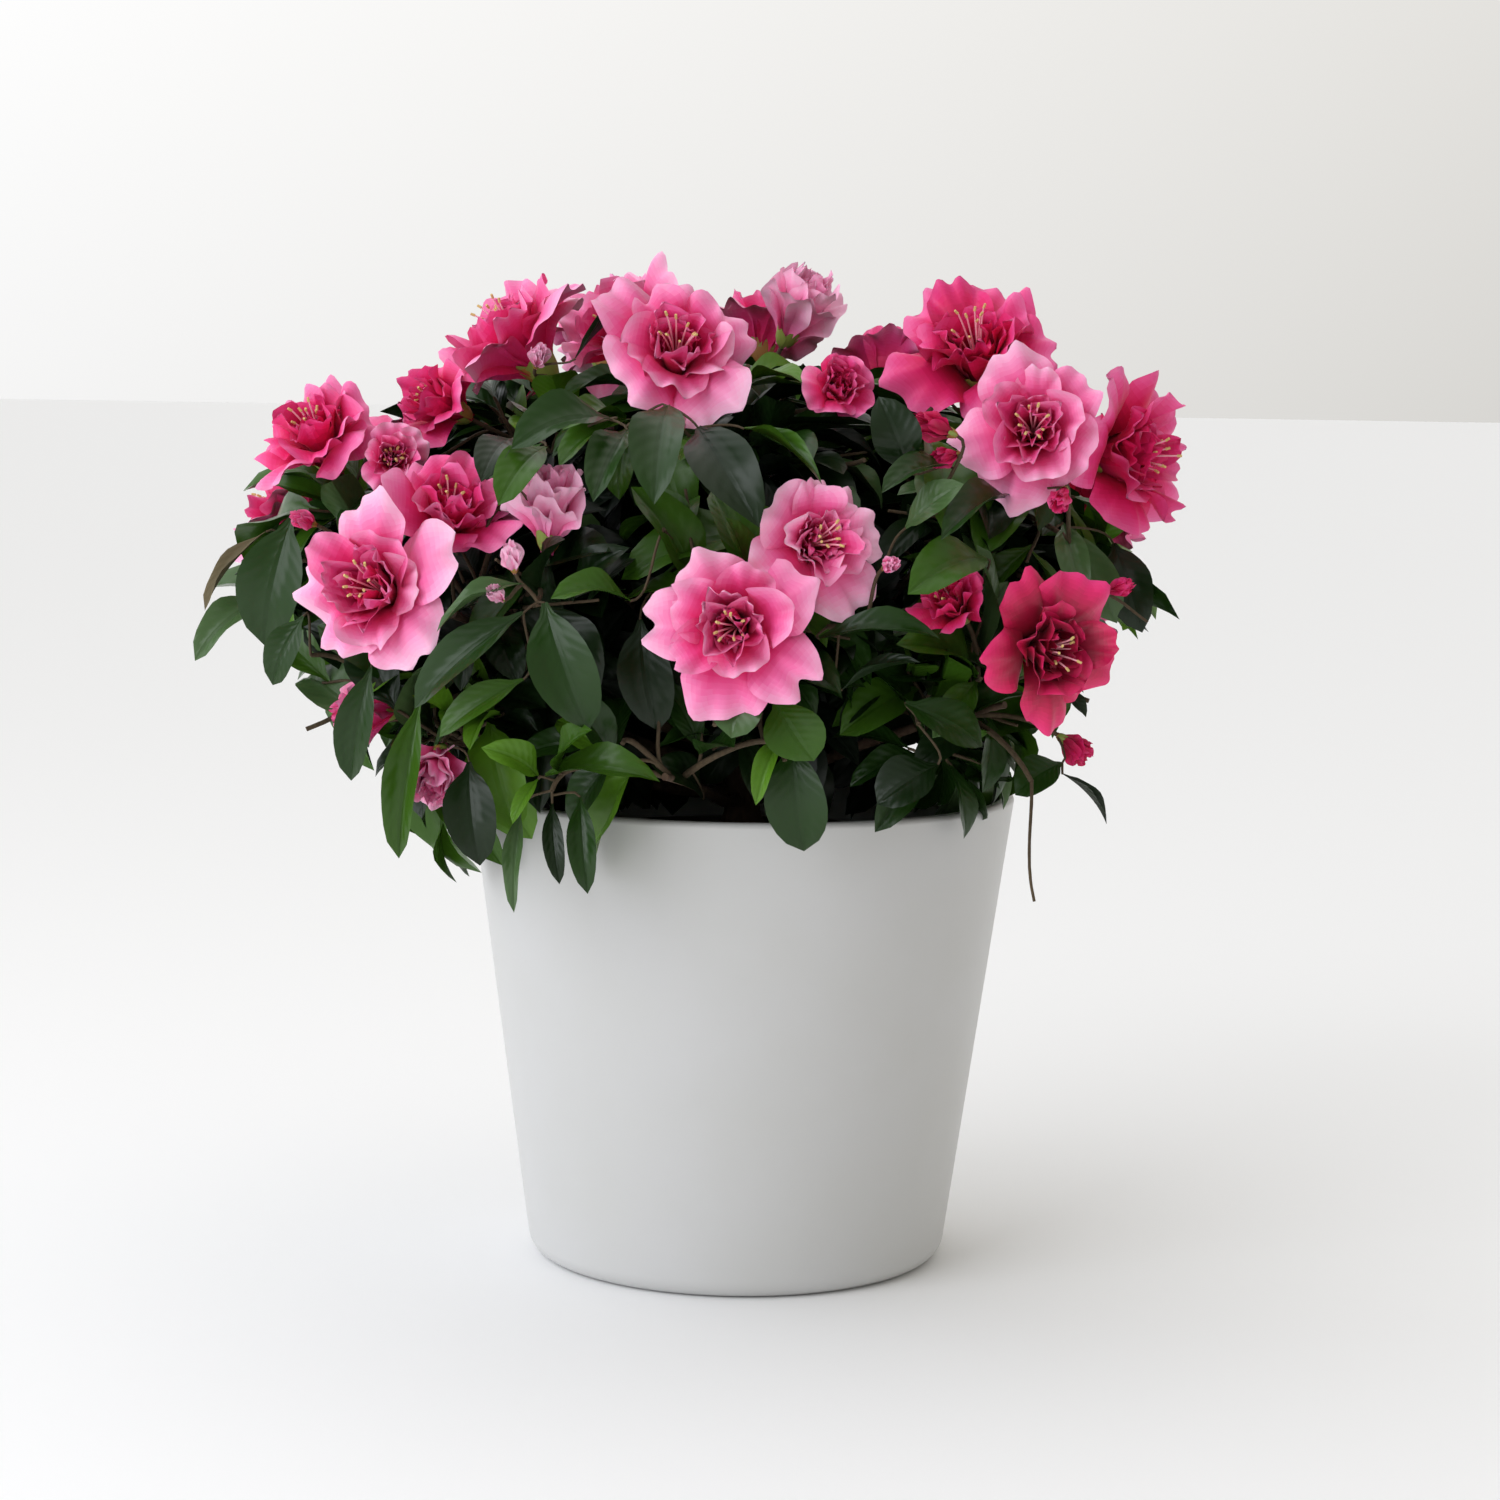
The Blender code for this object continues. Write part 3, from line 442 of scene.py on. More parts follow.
edge = COMPOST_LEVEL - COMPOST_FALL
middle = (COMPOST_FLAT_RADIUS + inside(edge)) / 2
profile = [(0, 0, COMPOST_LEVEL), (COMPOST_FLAT_RADIUS, 0, COMPOST_LEVEL)]
profile += [(middle, 0, COMPOST_LEVEL - 0.3 * COMPOST_FALL), (inside(edge) - 3 * MM, 0, edge + 0.3 * MM)]
profile += [(inside(edge - 2 * MM), 0, edge - 2 * MM), (inside(POT_FLOOR), 0, POT_FLOOR + CLEAR)]
profile += [(0, 0, POT_FLOOR + CLEAR)]
peat = coarse_peat()
crumb = crumb_shape()
bed = grow("bed", line_mesh("compost_profile", profile), wheel, {"Sides": 96, "Material": peat})
scatter = {
    "Crumb": crumb, "Crumbs per square metre": CRUMBS_PER_SQUARE_METRE, "Largest": LARGEST_CRUMB,
    "Seed": 5, "Material": peat}
compost = grow("peat_compost", bed.data, crumb_tree(), scatter)
for spent in (bed, crumb):
    bpy.data.objects.remove(spent)
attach(compost, "root")
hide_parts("compost")

# %% [markdown]
# ## The rule that the plant grows by
# The frame's solids were grown by a rule, and the same rule is written again here, so that leaves and
# petals come where the solids are. A limb is a curve with two handles. It starts level at the stem, like
# a real azalea's low forks, and swings up to the heart of its mass. Every limb keeps its handles, so that
# it can be drawn with a few points for the tests of space, and with many points for the eye.

# %% Limbs
STEM_HEIGHT = 52 * MM
STEM_FOOT_RADIUS = 11 * MM
STEM_RADIUS = 6.4 * MM
STEM_TIP_RADIUS = 4.6 * MM
STEM_FLARE_HEIGHT = 9 * MM
STEM_LEAN = Vector((-3, -2, 0)) * MM
BOUGH_RADIUS = 2.1 * MM
BOUGH_TIP_RADIUS = 1.5 * MM
BOUGH_SHARE = 0.60
LOWEST_FORK = 12 * MM
FORK_SPAN = 34 * MM
CROWDING = 1.5
TWIG_RADIUS = 1.1 * MM
TWIG_TIP_RADIUS = 0.75 * MM
LEADER = "top"
HEARTS = {
    "left_high": (-116, -38, 230), "left_front": (-84, -80, 206), "top_left": (-76, -14, 262),
    "top": (-10, -32, 262), "right_shoulder": (82, -44, 246), "front": (6, -94, 204),
    "right_front": (76, -76, 182), "left_low": (-92, -62, 168), "front_low": (-22, -98, 162),
    "left_outer": (-130, 22, 198), "right_outer": (96, 28, 204), "back_left": (-82, 62, 242),
    "back_right": (34, 58, 256), "back": (-22, 100, 206), "back_low_left": (-84, 84, 172),
    "back_low_right": (50, 88, 172),
}


def facing(bearing, elevation):
    """The unit vector at this bearing from -Y, positive towards +X, and this elevation, both in degrees."""
    turn, rise = math.radians(bearing), math.radians(elevation)
    return Vector((math.sin(turn) * math.cos(rise), -math.cos(turn) * math.cos(rise), math.sin(rise)))


def bezier(handles, count, crowding=CROWDING):
    """Points on a cubic curve, closer together near its start."""
    a, b, c, d = handles
    points = []
    for i in range(count):
        t = (i / (count - 1)) ** crowding
        s = 1 - t
        points.append(s**3 * a + 3 * s * s * t * b + 3 * s * t * t * c + t**3 * d)
    return points


def tapered(first, last, count):
    return [first + (last - first) * i / (count - 1) for i in range(count)]


class Limb:
    """A tapered limb with its curve's handles, its points and radii, and the mass that it belongs to."""

    def __init__(self, handles, radii, count, mass=None):
        self.handles, self.ends, self.mass = handles, radii, mass
        self.points = bezier(handles, count)
        self.radii = tapered(*radii, count)

    def at(self, share):
        """The point, direction and radius at this share of the way along."""
        place = share * (len(self.points) - 1)
        i = min(int(place), len(self.points) - 2)
        t = place - i
        start, end = self.points[i], self.points[i + 1]
        radius = self.radii[i] + (self.radii[i + 1] - self.radii[i]) * t
        return start.lerp(end, t), (end - start).normalized(), radius

    def length(self):
        return sum((b - a).length for a, b in zip(self.points, self.points[1:]))

    def drawn(self, count):
        """The limb as a smooth path of (point, radius)."""
        return list(zip(bezier(self.handles, count, 1), tapered(*self.ends, count)))


def stem_axis(height):
    share = height / STEM_HEIGHT
    return Vector((0, 0, COMPOST_LEVEL + height)) + STEM_LEAN * share * share


def stem_radius(height):
    flare = max(0, 1 - height / STEM_FLARE_HEIGHT)
    taper = STEM_RADIUS + (STEM_TIP_RADIUS - STEM_RADIUS) * height / STEM_HEIGHT
    return taper + (STEM_FOOT_RADIUS - STEM_RADIUS) * flare * flare


def bough(name, fork):
    """The bough to one mass: it leaves the stem's side level, or goes on from its tip, and then rises."""
    heart = Vector(HEARTS[name]) * MM
    if name == LEADER:
        outward = (stem_axis(STEM_HEIGHT) - stem_axis(STEM_HEIGHT * 0.9)).normalized()
        start = stem_axis(STEM_HEIGHT) + outward * 1.5 * CLEAR
    else:
        axis = stem_axis(fork)
        outward = Vector((heart.x - axis.x, heart.y - axis.y, 0)).normalized()
        start = axis + outward * (stem_radius(fork) + 1.2 * CLEAR)
    end = start.lerp(heart, BOUGH_SHARE)
    handles = (start, start + outward * (end - start).length * 0.34, end.lerp(start, 0.4), end)
    return Limb(handles, (BOUGH_RADIUS, BOUGH_TIP_RADIUS), 5)


def mass_stem(name, carrier):
    """The stem of a mass: it goes on from its bough's tip to the heart."""
    tip, onward, _ = carrier.at(1)
    heart = Vector(HEARTS[name]) * MM
    start = tip + onward * CLEAR
    handles = (start, start + onward * (heart - start).length * 0.5, heart.lerp(start, 0.3), heart)
    return Limb(handles, (BOUGH_TIP_RADIUS, TWIG_RADIUS), 4, name)


def grow_twig(stem, tip, pointing):
    """A twig that leaves a mass's stem and reaches its tip along the direction that it points."""
    start = stem.points[0]
    reach = (stem.points[-1] - start).length
    share = min(0.95, max(0.3, (tip - start).dot(stem.points[-1] - start) / reach / reach - 0.5))
    root, along, _ = stem.at(share)
    gap = (tip - root).length
    handles = (root, root + along * gap * 0.25, tip - pointing * gap * 0.4, tip)
    return Limb(handles, (TWIG_RADIUS, TWIG_TIP_RADIUS), 3, stem.mass)


ranked = sorted(HEARTS, key=lambda name: HEARTS[name][2])
forks = {name: LOWEST_FORK + FORK_SPAN / (len(ranked) - 1) * i for i, name in enumerate(ranked)}
boughs = {name: bough(name, forks[name]) for name in HEARTS}
stems = {name: mass_stem(name, boughs[name]) for name in HEARTS}
print(len(boughs), "boughs, longest", round(max(limb.length() for limb in boughs.values()) / MM), "mm")

# %% [markdown]
# ## The crown and the space in it
# A clipped azalea fills a wide, flat dome that leans a little to one side. How far out a place lies is
# one number, 1 on the crown's limit. Each mass keeps to its own space: the places that are nearer to its
# own twigs than to any other mass's. A leaf is tried against the crown, its space, the limbs and the pot
# before it is grown.

# %% Crown and space
CROWN_CENTRE = Vector((-22, 0, 205)) * MM
CROWN_LEAN = 0.2
CROWN_HALF_WIDTH = 157 * MM
CROWN_HALF_DEPTH = 142 * MM
CROWN_ABOVE = 106 * MM
CROWN_BELOW = 86 * MM
NARROWER_WIDTH = 0.34
NARROWER_DEPTH = 0.20
BOXY = 2.4
SPACE_MARGIN = 0.5 * MM
SEED_STEP = 7 * MM
LIMB_MARGIN = 0.8 * MM
TWIG_MARGIN = 2.5 * MM
TWIG_STEP = 2 * MM
POT_MARGIN = 1.5 * MM


def crown_measure(points):
    """How far out each point lies: 0 at the crown's centre and 1 on its limit, which narrows downwards."""
    x, y, z = (points - np.array(CROWN_CENTRE)).T
    x = x - CROWN_LEAN * z
    down = np.clip(-z / CROWN_BELOW, 0, 1)
    across = np.abs(x) / (CROWN_HALF_WIDTH * (1 - NARROWER_WIDTH * down))
    deep = np.abs(y) / (CROWN_HALF_DEPTH * (1 - NARROWER_DEPTH * down))
    plan = (across**BOXY + deep**BOXY) ** (1 / BOXY)
    dome = (plan**BOXY + (np.maximum(z, 0) / CROWN_ABOVE) ** BOXY) ** (1 / BOXY)
    return np.maximum(dome, -z / CROWN_BELOW)


def seeds_on(limb):
    """Points close together along a limb, which claim the space round it for its mass."""
    count = max(2, round(limb.length() / SEED_STEP))
    return [tuple(limb.at(i / count)[0]) for i in range(count + 1)]


class Space:
    """What a new twig, leaf or flower keeps clear of: the other masses, the limbs and the pot."""

    def __init__(self, boughs, stems):
        self.seeds, self.owners = np.empty((0, 3)), np.empty(0, dtype=str)
        self.starts, self.ends = np.empty((0, 3)), np.empty((0, 3))
        self.radii, self.masses = np.empty(0), np.empty(0, dtype=str)
        for limb in boughs:
            self.add_limb(limb)
        for limb in stems:
            self.claim(limb)

    def add_limb(self, limb):
        points = np.array([tuple(p) for p in limb.points])
        radii = np.maximum(limb.radii[:-1], limb.radii[1:])
        self.starts = np.concatenate([self.starts, points[:-1]])
        self.ends = np.concatenate([self.ends, points[1:]])
        self.radii = np.concatenate([self.radii, radii])
        self.masses = np.concatenate([self.masses, [limb.mass or ""] * len(radii)])

    def claim(self, limb, *places):
        """Adds a mass's limb, with the space round it and round any further places."""
        self.add_limb(limb)
        seeds = np.array([*seeds_on(limb), *[tuple(place) for place in places]])
        self.seeds = np.concatenate([self.seeds, seeds])
        self.owners = np.concatenate([self.owners, [limb.mass] * len(seeds)])

    def near(self, place, reach):
        """The same space with only the seeds and limbs within reach of a place, which is quicker to ask."""
        part = Space((), ())
        close = ((self.seeds - np.array(place)) ** 2).sum(1) < reach**2
        part.seeds, part.owners = self.seeds[close], self.owners[close]
        close = (((self.starts + self.ends) / 2 - np.array(place)) ** 2).sum(1) < (reach + 20 * MM) ** 2
        part.starts, part.ends = self.starts[close], self.ends[close]
        part.radii, part.masses = self.radii[close], self.masses[close]
        return part

    def in_own_space(self, points, mass, margin=SPACE_MARGIN):
        """Each point is nearer to a seed of its own mass than to any other, by the margin at the border."""
        square = ((points[:, None] - self.seeds[None]) ** 2).sum(2)
        mine = self.owners == mass
        if mine.all():
            return True
        own = np.where(mine, square, np.inf).argmin(1)
        apart = np.linalg.norm(self.seeds[None, ~mine] - self.seeds[own][:, None], axis=2)
        border = (square[:, ~mine] - square[np.arange(len(points)), own][:, None]) / (2 * apart)
        return border.min() >= margin

    def off_limbs(self, points, mass, margin):
        """No point is near a bough, the stem or another mass's twig."""
        other = self.masses != mass
        if not other.any():
            return True
        a, b, radii = self.starts[other], self.ends[other], self.radii[other]
        along = b - a
        t = ((points[:, None] - a[None]) * along[None]).sum(2) / (along**2).sum(1)
        nearest = a[None] + np.clip(t, 0, 1)[..., None] * along[None]
        return (np.linalg.norm(points[:, None] - nearest, axis=2) - radii[None]).min() >= margin

    def off_pot(self, points):
        """Each point is over the rim, outside the wall or over the compost inside it."""
        height, out = points[:, 2], np.hypot(points[:, 0], points[:, 1])
        wall = pot_radius(height)
        over = height > POT_HEIGHT + POT_MARGIN
        outside = out > wall + POT_MARGIN
        within = (out < wall - POT_WALL - POT_MARGIN) & (height > COMPOST_LEVEL + POT_MARGIN)
        return bool((over | outside | within).all())

    def takes_twig(self, limb):
        steps = round(limb.length() / TWIG_STEP)
        points = np.array([tuple(limb.at(i / steps)[0]) for i in range(2, steps + 1)])
        return self.off_pot(points) and self.off_limbs(points, limb.mass, TWIG_MARGIN)

    def owner_at(self, place):
        """The mass whose space a place lies in."""
        return self.owners[((self.seeds - np.array(tuple(place))) ** 2).sum(1).argmin()]


trunk = Limb([stem_axis(STEM_HEIGHT * i / 3) for i in range(4)], (STEM_FOOT_RADIUS, STEM_RADIUS), 2)
space = Space([trunk, *boughs.values()], stems.values())
print("space claimed by", len(space.seeds), "seeds")

# %% [markdown]
# ## Shoots
# An azalea flowers at the ends of its shoots. The blooms that the photograph shows are listed one by one,
# each with its width, the way that it faces and how far it has opened, and the sides and the back get
# thirteen more. Leafy shoots fill the places between them: a few listed along the front, the others by a
# fixed seed, each as far as it can be from those before it.

# %% Flowers and shoots
# mass, place and width in millimetres, bearing, elevation, how far open, and how deep a pink
FLOWERS = (
    ("left_high", (-127, -50, 256), 46, -30, 48, 1.0, 0.62),
    ("left_high", (-104, -60, 250), 26, 10, 10, 0.7, 0.45),
    ("top_left", (-92, -36, 266), 34, -60, 25, 0.8, 0.72),
    ("top_left", (-69, -28, 284), 48, -75, 48, 1.0, 0.5), ("top", (-37, 0, 288), 42, -50, 30, 1.0, 0.45),
    ("top", (-21, -58, 283), 54, 4, 30, 1.0, 0.4), ("top", (14, -14, 294), 34, 50, 60, 0.4, 0.12),
    ("top", (26, -58, 272), 26, 10, 20, 0.8, 0.6),
    ("right_shoulder", (68, -34, 284), 58, -15, 46, 1.0, 0.7),
    ("right_shoulder", (82, -78, 262), 48, -5, 12, 1.0, 0.42),
    ("right_shoulder", (112, -46, 254), 56, 58, 2, 1.0, 0.7),
    ("left_front", (-105, -96, 214), 54, -18, 12, 1.0, 0.42),
    ("left_front", (-86, -76, 232), 32, 15, 45, 0.8, 0.55),
    ("left_front", (-56, -96, 234), 30, 5, 74, 0.3, 0.16), ("front", (-3, -120, 207), 50, -8, 4, 1.0, 0.38),
    ("front", (20, -106, 230), 44, 22, 12, 1.0, 0.32),
    ("right_front", (86, -96, 200), 46, 30, 0, 1.0, 0.95),
    ("right_front", (60, -92, 212), 28, -30, 35, 0.7, 0.8),
    ("right_front", (98, -60, 168), 20, 75, -35, 0.3, 0.9),
    ("left_low", (-108, -70, 176), 26, -70, -5, 0.4, 0.5),
    ("left_low", (-88, -90, 163), 28, -10, -35, 0.5, 0.3),
    ("left_outer", (-146, 26, 230), 44, -95, 35, 1.0, 0.5),
    ("right_outer", (112, 30, 238), 46, 100, 30, 1.0, 0.6),
    ("right_outer", (110, 58, 194), 40, 115, 5, 1.0, 0.4),
    ("back_left", (-116, 72, 246), 48, -130, 35, 1.0, 0.5),
    ("back_left", (-84, 78, 268), 38, -160, 50, 0.8, 0.6),
    ("back_left", (-48, 48, 288), 46, -160, 62, 1.0, 0.4),
    ("back_right", (4, 46, 290), 40, 170, 66, 0.9, 0.5),
    ("back_right", (46, 66, 280), 52, 160, 45, 1.0, 0.6),
    ("back_right", (78, 46, 270), 40, 115, 45, 1.0, 0.4), ("back", (-38, 120, 226), 48, 175, 12, 1.0, 0.45),
    ("back", (2, 118, 238), 40, 160, 22, 0.9, 0.6),
    ("back_low_left", (-104, 98, 182), 44, -135, 0, 1.0, 0.4),
    ("back_low_right", (76, 102, 190), 44, 140, 8, 1.0, 0.55),
)
# mass, place of the end in millimetres, bearing and elevation
FRONT_SHOOTS = (
    ("top", (-50, -66, 258), -25, 20), ("top", (-12, -80, 252), 0, 10), ("top", (34, -66, 252), 20, 15),
    ("left_front", (-58, -108, 212), -15, -35), ("front", (-8, -108, 178), -10, -40),
    ("front", (34, -108, 206), 40, 0), ("right_shoulder", (54, -88, 238), 0, 0),
    ("right_shoulder", (94, -68, 230), 30, -20), ("left_high", (-134, -34, 218), -60, -10),
    ("left_outer", (-136, -6, 200), -75, -20), ("left_low", (-84, -84, 182), -25, -20),
    ("left_low", (-98, -82, 164), -40, -50), ("front_low", (-54, -102, 158), -20, -60),
    ("front_low", (-34, -104, 172), -5, -25), ("front_low", (12, -106, 168), 10, -60),
    ("right_front", (104, -40, 180), 70, -20), ("right_front", (50, -96, 178), 10, -30),
    ("right_front", (84, -80, 160), 35, -50),
)
TUBE_DEPTH = 0.62  # of a flower's radius
SHOOT_COUNT = 154
SHOOT_SHARES = (0.32, 0.80)
SEED = 11


def flower_frame(direction, twist):
    """Two axes across the direction that a flower faces, turned by the twist."""
    across = direction.orthogonal().normalized()
    across.rotate(Matrix.Rotation(twist, 3, direction))
    return across, direction.cross(across)


def flower_seeds(flower):
    """Points over a flower's disc, which claim the space round it for its mass."""
    _, place, width, bearing, elevation, *_ = flower
    centre = Vector(place) * MM
    across, up = flower_frame(facing(bearing, elevation), 0)
    seeds = [centre]
    for i in range(6):
        angle = math.tau * i / 6
        seeds.append(centre + (across * math.cos(angle) + up * math.sin(angle)) * 0.35 * width * MM)
    return seeds


def place_in_crown(rng):
    """A seeded place for the end of a shoot, within the wanted shares of the crown's reach."""
    while True:
        width, depth = CROWN_HALF_WIDTH, CROWN_HALF_DEPTH
        offset = [rng.uniform(-width, width), rng.uniform(-depth, depth)]
        offset.append(rng.uniform(-0.5 * CROWN_BELOW, CROWN_ABOVE))
        place = CROWN_CENTRE + Vector(offset)
        if SHOOT_SHARES[0] < crown_measure(np.array([tuple(place)]))[0] < SHOOT_SHARES[1]:
            return place


def grow_shoots():
    """Every shoot as (mass, label, twig, flower): those with flowers, those in front, the seeded ones."""
    shoots = []

    def try_shoot(mass, tip, pointing, flower=None, seeded=False):
        twig = grow_twig(stems[mass], tip, pointing)
        if not space.takes_twig(twig):
            return
        if seeded and not space.in_own_space(np.array(seeds_on(twig))[1:], mass):
            return
        space.claim(twig, *(flower_seeds(flower) if flower else []))
        shoots.append((mass, f"shoot_{len(shoots)}", twig, flower))

    for flower in FLOWERS:
        mass, place, width, bearing, elevation, *_ = flower
        pointing = facing(bearing, elevation)
        try_shoot(mass, Vector(place) * MM - pointing * (TUBE_DEPTH * width * MM / 2), pointing, flower)
    for mass, place, bearing, elevation in FRONT_SHOOTS:
        try_shoot(mass, Vector(place) * MM, facing(bearing, elevation))
    rng = random.Random(SEED)
    ends = [twig.points[-1] for _, _, twig, _ in shoots]
    for _ in range(3 * SHOOT_COUNT):
        choices = [place_in_crown(rng) for _ in range(30)]
        end = max(choices, key=lambda place: min((place - other).length for other in ends))
        ends.append(end)
        if len(shoots) < SHOOT_COUNT:
            try_shoot(space.owner_at(end), end, (end - CROWN_CENTRE).normalized(), seeded=True)
    return shoots


shoots = grow_shoots()
print(len(shoots), "shoots,", sum(1 for shoot in shoots if shoot[3]), "with flowers")

# %% [markdown]
# ## Limbs with bark
# The limbs are paths with a thickness at each point, and one tree draws them all: it turns the path into
# a curve, cuts it into short steps, sweeps a circle along it and pushes the skin in and out by a noise
# that is stretched along the grain. The old stem gets many sides and deep relief, the twigs six sides and
# hardly any.

# %% Limb tree
BARK_LEVEL = 0.62  # most of the noise lies under it, so that the relief stays inside the limb's radius


def limb_tree():
    """Draws each path of a mesh as a limb, as thick as its points say, with bark that stands in relief."""
    inputs = {"Sides": "Int", "Step": "Float", "Relief": "Float", "Grain": "Float", "Material": "Material"}
    tree, start, end = new_tree("limb along its path", inputs)
    curve = add(tree, "GeometryNodeMeshToCurve", {0: start.outputs["Geometry"]})
    steps = add(tree, "GeometryNodeResampleCurve", {"mode": "LENGTH", "Curve": curve})
    tree.links.new(start.outputs["Step"], steps.inputs["Length"])
    thickness = add(tree, "GeometryNodeInputNamedAttribute", {"data_type": "FLOAT", "Name": "thickness"})
    circle = add(tree, "GeometryNodeCurvePrimitiveCircle", {
        "Resolution": start.outputs["Sides"], "Radius": 1.0})
    skin = add(tree, "GeometryNodeCurveToMesh", {
        "Curve": steps, "Profile Curve": circle.outputs["Curve"], "Scale": thickness, "Fill Caps": True})
    place = add(tree, "ShaderNodeVectorMath", {
        "operation": "MULTIPLY", 0: add(tree, "GeometryNodeInputPosition", {}), 1: (1, 1, 0.3)})
    finer = worked(tree, "DIVIDE", 1.0, start.outputs["Grain"])
    bark = add(tree, "ShaderNodeTexNoise", {"Vector": place, "Scale": finer, "Detail": 3.0})
    height = worked(tree, "SUBTRACT", bark.outputs["Fac"], BARK_LEVEL)
    push = worked(tree, "MULTIPLY", height, start.outputs["Relief"])
    normal = add(tree, "GeometryNodeInputNormal", {})
    offset = add(tree, "ShaderNodeVectorMath", {"operation": "SCALE", 0: normal, "Scale": push})
    rough = add(tree, "GeometryNodeSetPosition", {"Geometry": skin, "Offset": offset})
    smooth = add(tree, "GeometryNodeSetShadeSmooth", {"Geometry": rough})
    paint(tree, smooth, start, end)
    return tree


def paths_mesh(name, paths):
    """A mesh of open paths, each a list of (point, radius), with the radius kept as an attribute."""
    points, edges, radii = [], [], []
    for path in paths:
        edges += [(len(points) + i, len(points) + i + 1) for i in range(len(path) - 1)]
        points += [tuple(point) for point, _ in path]
        radii += [radius for _, radius in path]
    mesh = bpy.data.meshes.new(name)
    mesh.from_pydata(points, edges, [])
    mesh.attributes.new("thickness", "FLOAT", "POINT").data.foreach_set("value", radii)
    return mesh


def bark_of(name, pale, dark, grain):
    """Thin azalea bark: matt, grey-brown, its flakes and cracks running along the limb."""
    material, tree, shader = surface(name, pale, Roughness=0.85)
    place = add(tree, "ShaderNodeTexCoord", {}).outputs["Object"]
    along = add(tree, "ShaderNodeMapping", {"Vector": place, "Scale": (1, 1, 0.25)})
    flakes = patches(tree, along, grain, 5.0)
    blend(tree, flakes, dark, pale, shader.inputs["Base Color"])
    emboss(tree, shader, flakes, 0.6, 0.5 * MM)
    return material


limbs = limb_tree()
old_bark = bark_of("old_azalea_bark", "#6B5440", "#2A1D14", 2 * MM)
heights = [CLEAR + (STEM_HEIGHT - CLEAR) * i / 40 for i in range(41)]
stem_path = [(stem_axis(h), stem_radius(h) - 0.4 * CLEAR) for h in heights]
stem_values = {"Sides": 40, "Step": 0.8 * MM, "Relief": 2.2 * MM, "Grain": 2.6 * MM, "Material": old_bark}
stem = grow("old_stem", paths_mesh("stem_path", [stem_path]), limbs, stem_values)
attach(stem, "root")
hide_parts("stem")

bough_values = {"Sides": 14, "Step": 0.9 * MM, "Relief": 0.8 * MM, "Grain": 1.6 * MM, "Material": old_bark}
bough_paths = [limb.drawn(40) + stems[name].drawn(30)[1:] for name, limb in boughs.items()]
forking = grow("boughs", paths_mesh("bough_paths", bough_paths), limbs, bough_values)
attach(forking, "root")
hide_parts(*[f"bough_{name}" for name in boughs])

# %% [markdown]
# ## Petals
# A double azalea has a funnel of five broad outer petals, and inside it its stamens have turned into more
# petals, smaller and more ruffled. A petal is a sheet along a curve: the curve runs up the funnel and
# bends outwards, the sheet widens to a round, slightly notched end, and its margin waves. Its colour
# deepens towards the throat, and the plain tones are dealt out face by face, so that no pattern has to be
# painted.

# %% Petal shape
PETAL_TONES = 32
PETAL_KEYS = ("#FFC6E1", "#FF9FCB", "#F970AE", "#F23F8C", "#E9206F", "#CC0F52", "#A00838")

# where along a sheet its form changes, as shares of its length, and what it has there
CLAW, BLADE = 0.20, 0.80  # its breadth at the foot, and what it gains from there
BROADEST = 0.72
ROUND_FROM, ROUND_OVER = 0.66, 0.343
ROUNDNESS = (0.36, 0.56)
MARGIN_FROM, MARGIN_OVER = 0.42, 0.58
NOTCH_WIDTH = 0.22
WAVES, SMALL_WAVES = 4, 9
PALE_MARGIN = 0.22


def between(codes, share):
    """The colour code at a share of the way along a list of codes."""
    place = share * (len(codes) - 1)
    i = min(int(place), len(codes) - 2)
    ends = [[int(code[k : k + 2], 16) for k in (1, 3, 5)] for code in codes[i : i + 2]]
    return "#" + "".join(f"{round(a + (b - a) * (place - i)):02X}" for a, b in zip(*ends))


def petal_skin(name, colour):
    """Petal: thin, moist and finely velvety, so it is matt with a faint sheen and a little light in it."""
    material, tree, shader = surface(name, colour, Roughness=0.5, Sheen_Weight=0.05, Subsurface_Weight=0.12)
    shader.inputs["Subsurface Radius"].default_value = (1.0, 0.4, 0.5)
    shader.inputs["Subsurface Scale"].default_value = 1 * MM
    place = add(tree, "ShaderNodeTexCoord", {}).outputs["Object"]
    emboss(tree, shader, patches(tree, place, 3 * MM, 2.0), 0.2, 0.6 * MM)
    return material


def smooth_step(x):
    x = np.clip(x, 0, 1)
    return x * x * (3 - 2 * x)


def along_curve(handles, t):
    """The (out, high) places and slopes at the shares t of a cubic curve with these handles."""
    a, b, c, d = (np.array(handle)[:, None, None] for handle in handles)
    s = 1 - t
    place = s**3 * a + 3 * s * s * t * b + 3 * s * t * t * c + t**3 * d
    slope = 3 * s * s * (b - a) + 6 * s * t * (c - b) + 3 * t * t * (d - c)
    return place, slope / (np.hypot(*slope) + 1e-9)


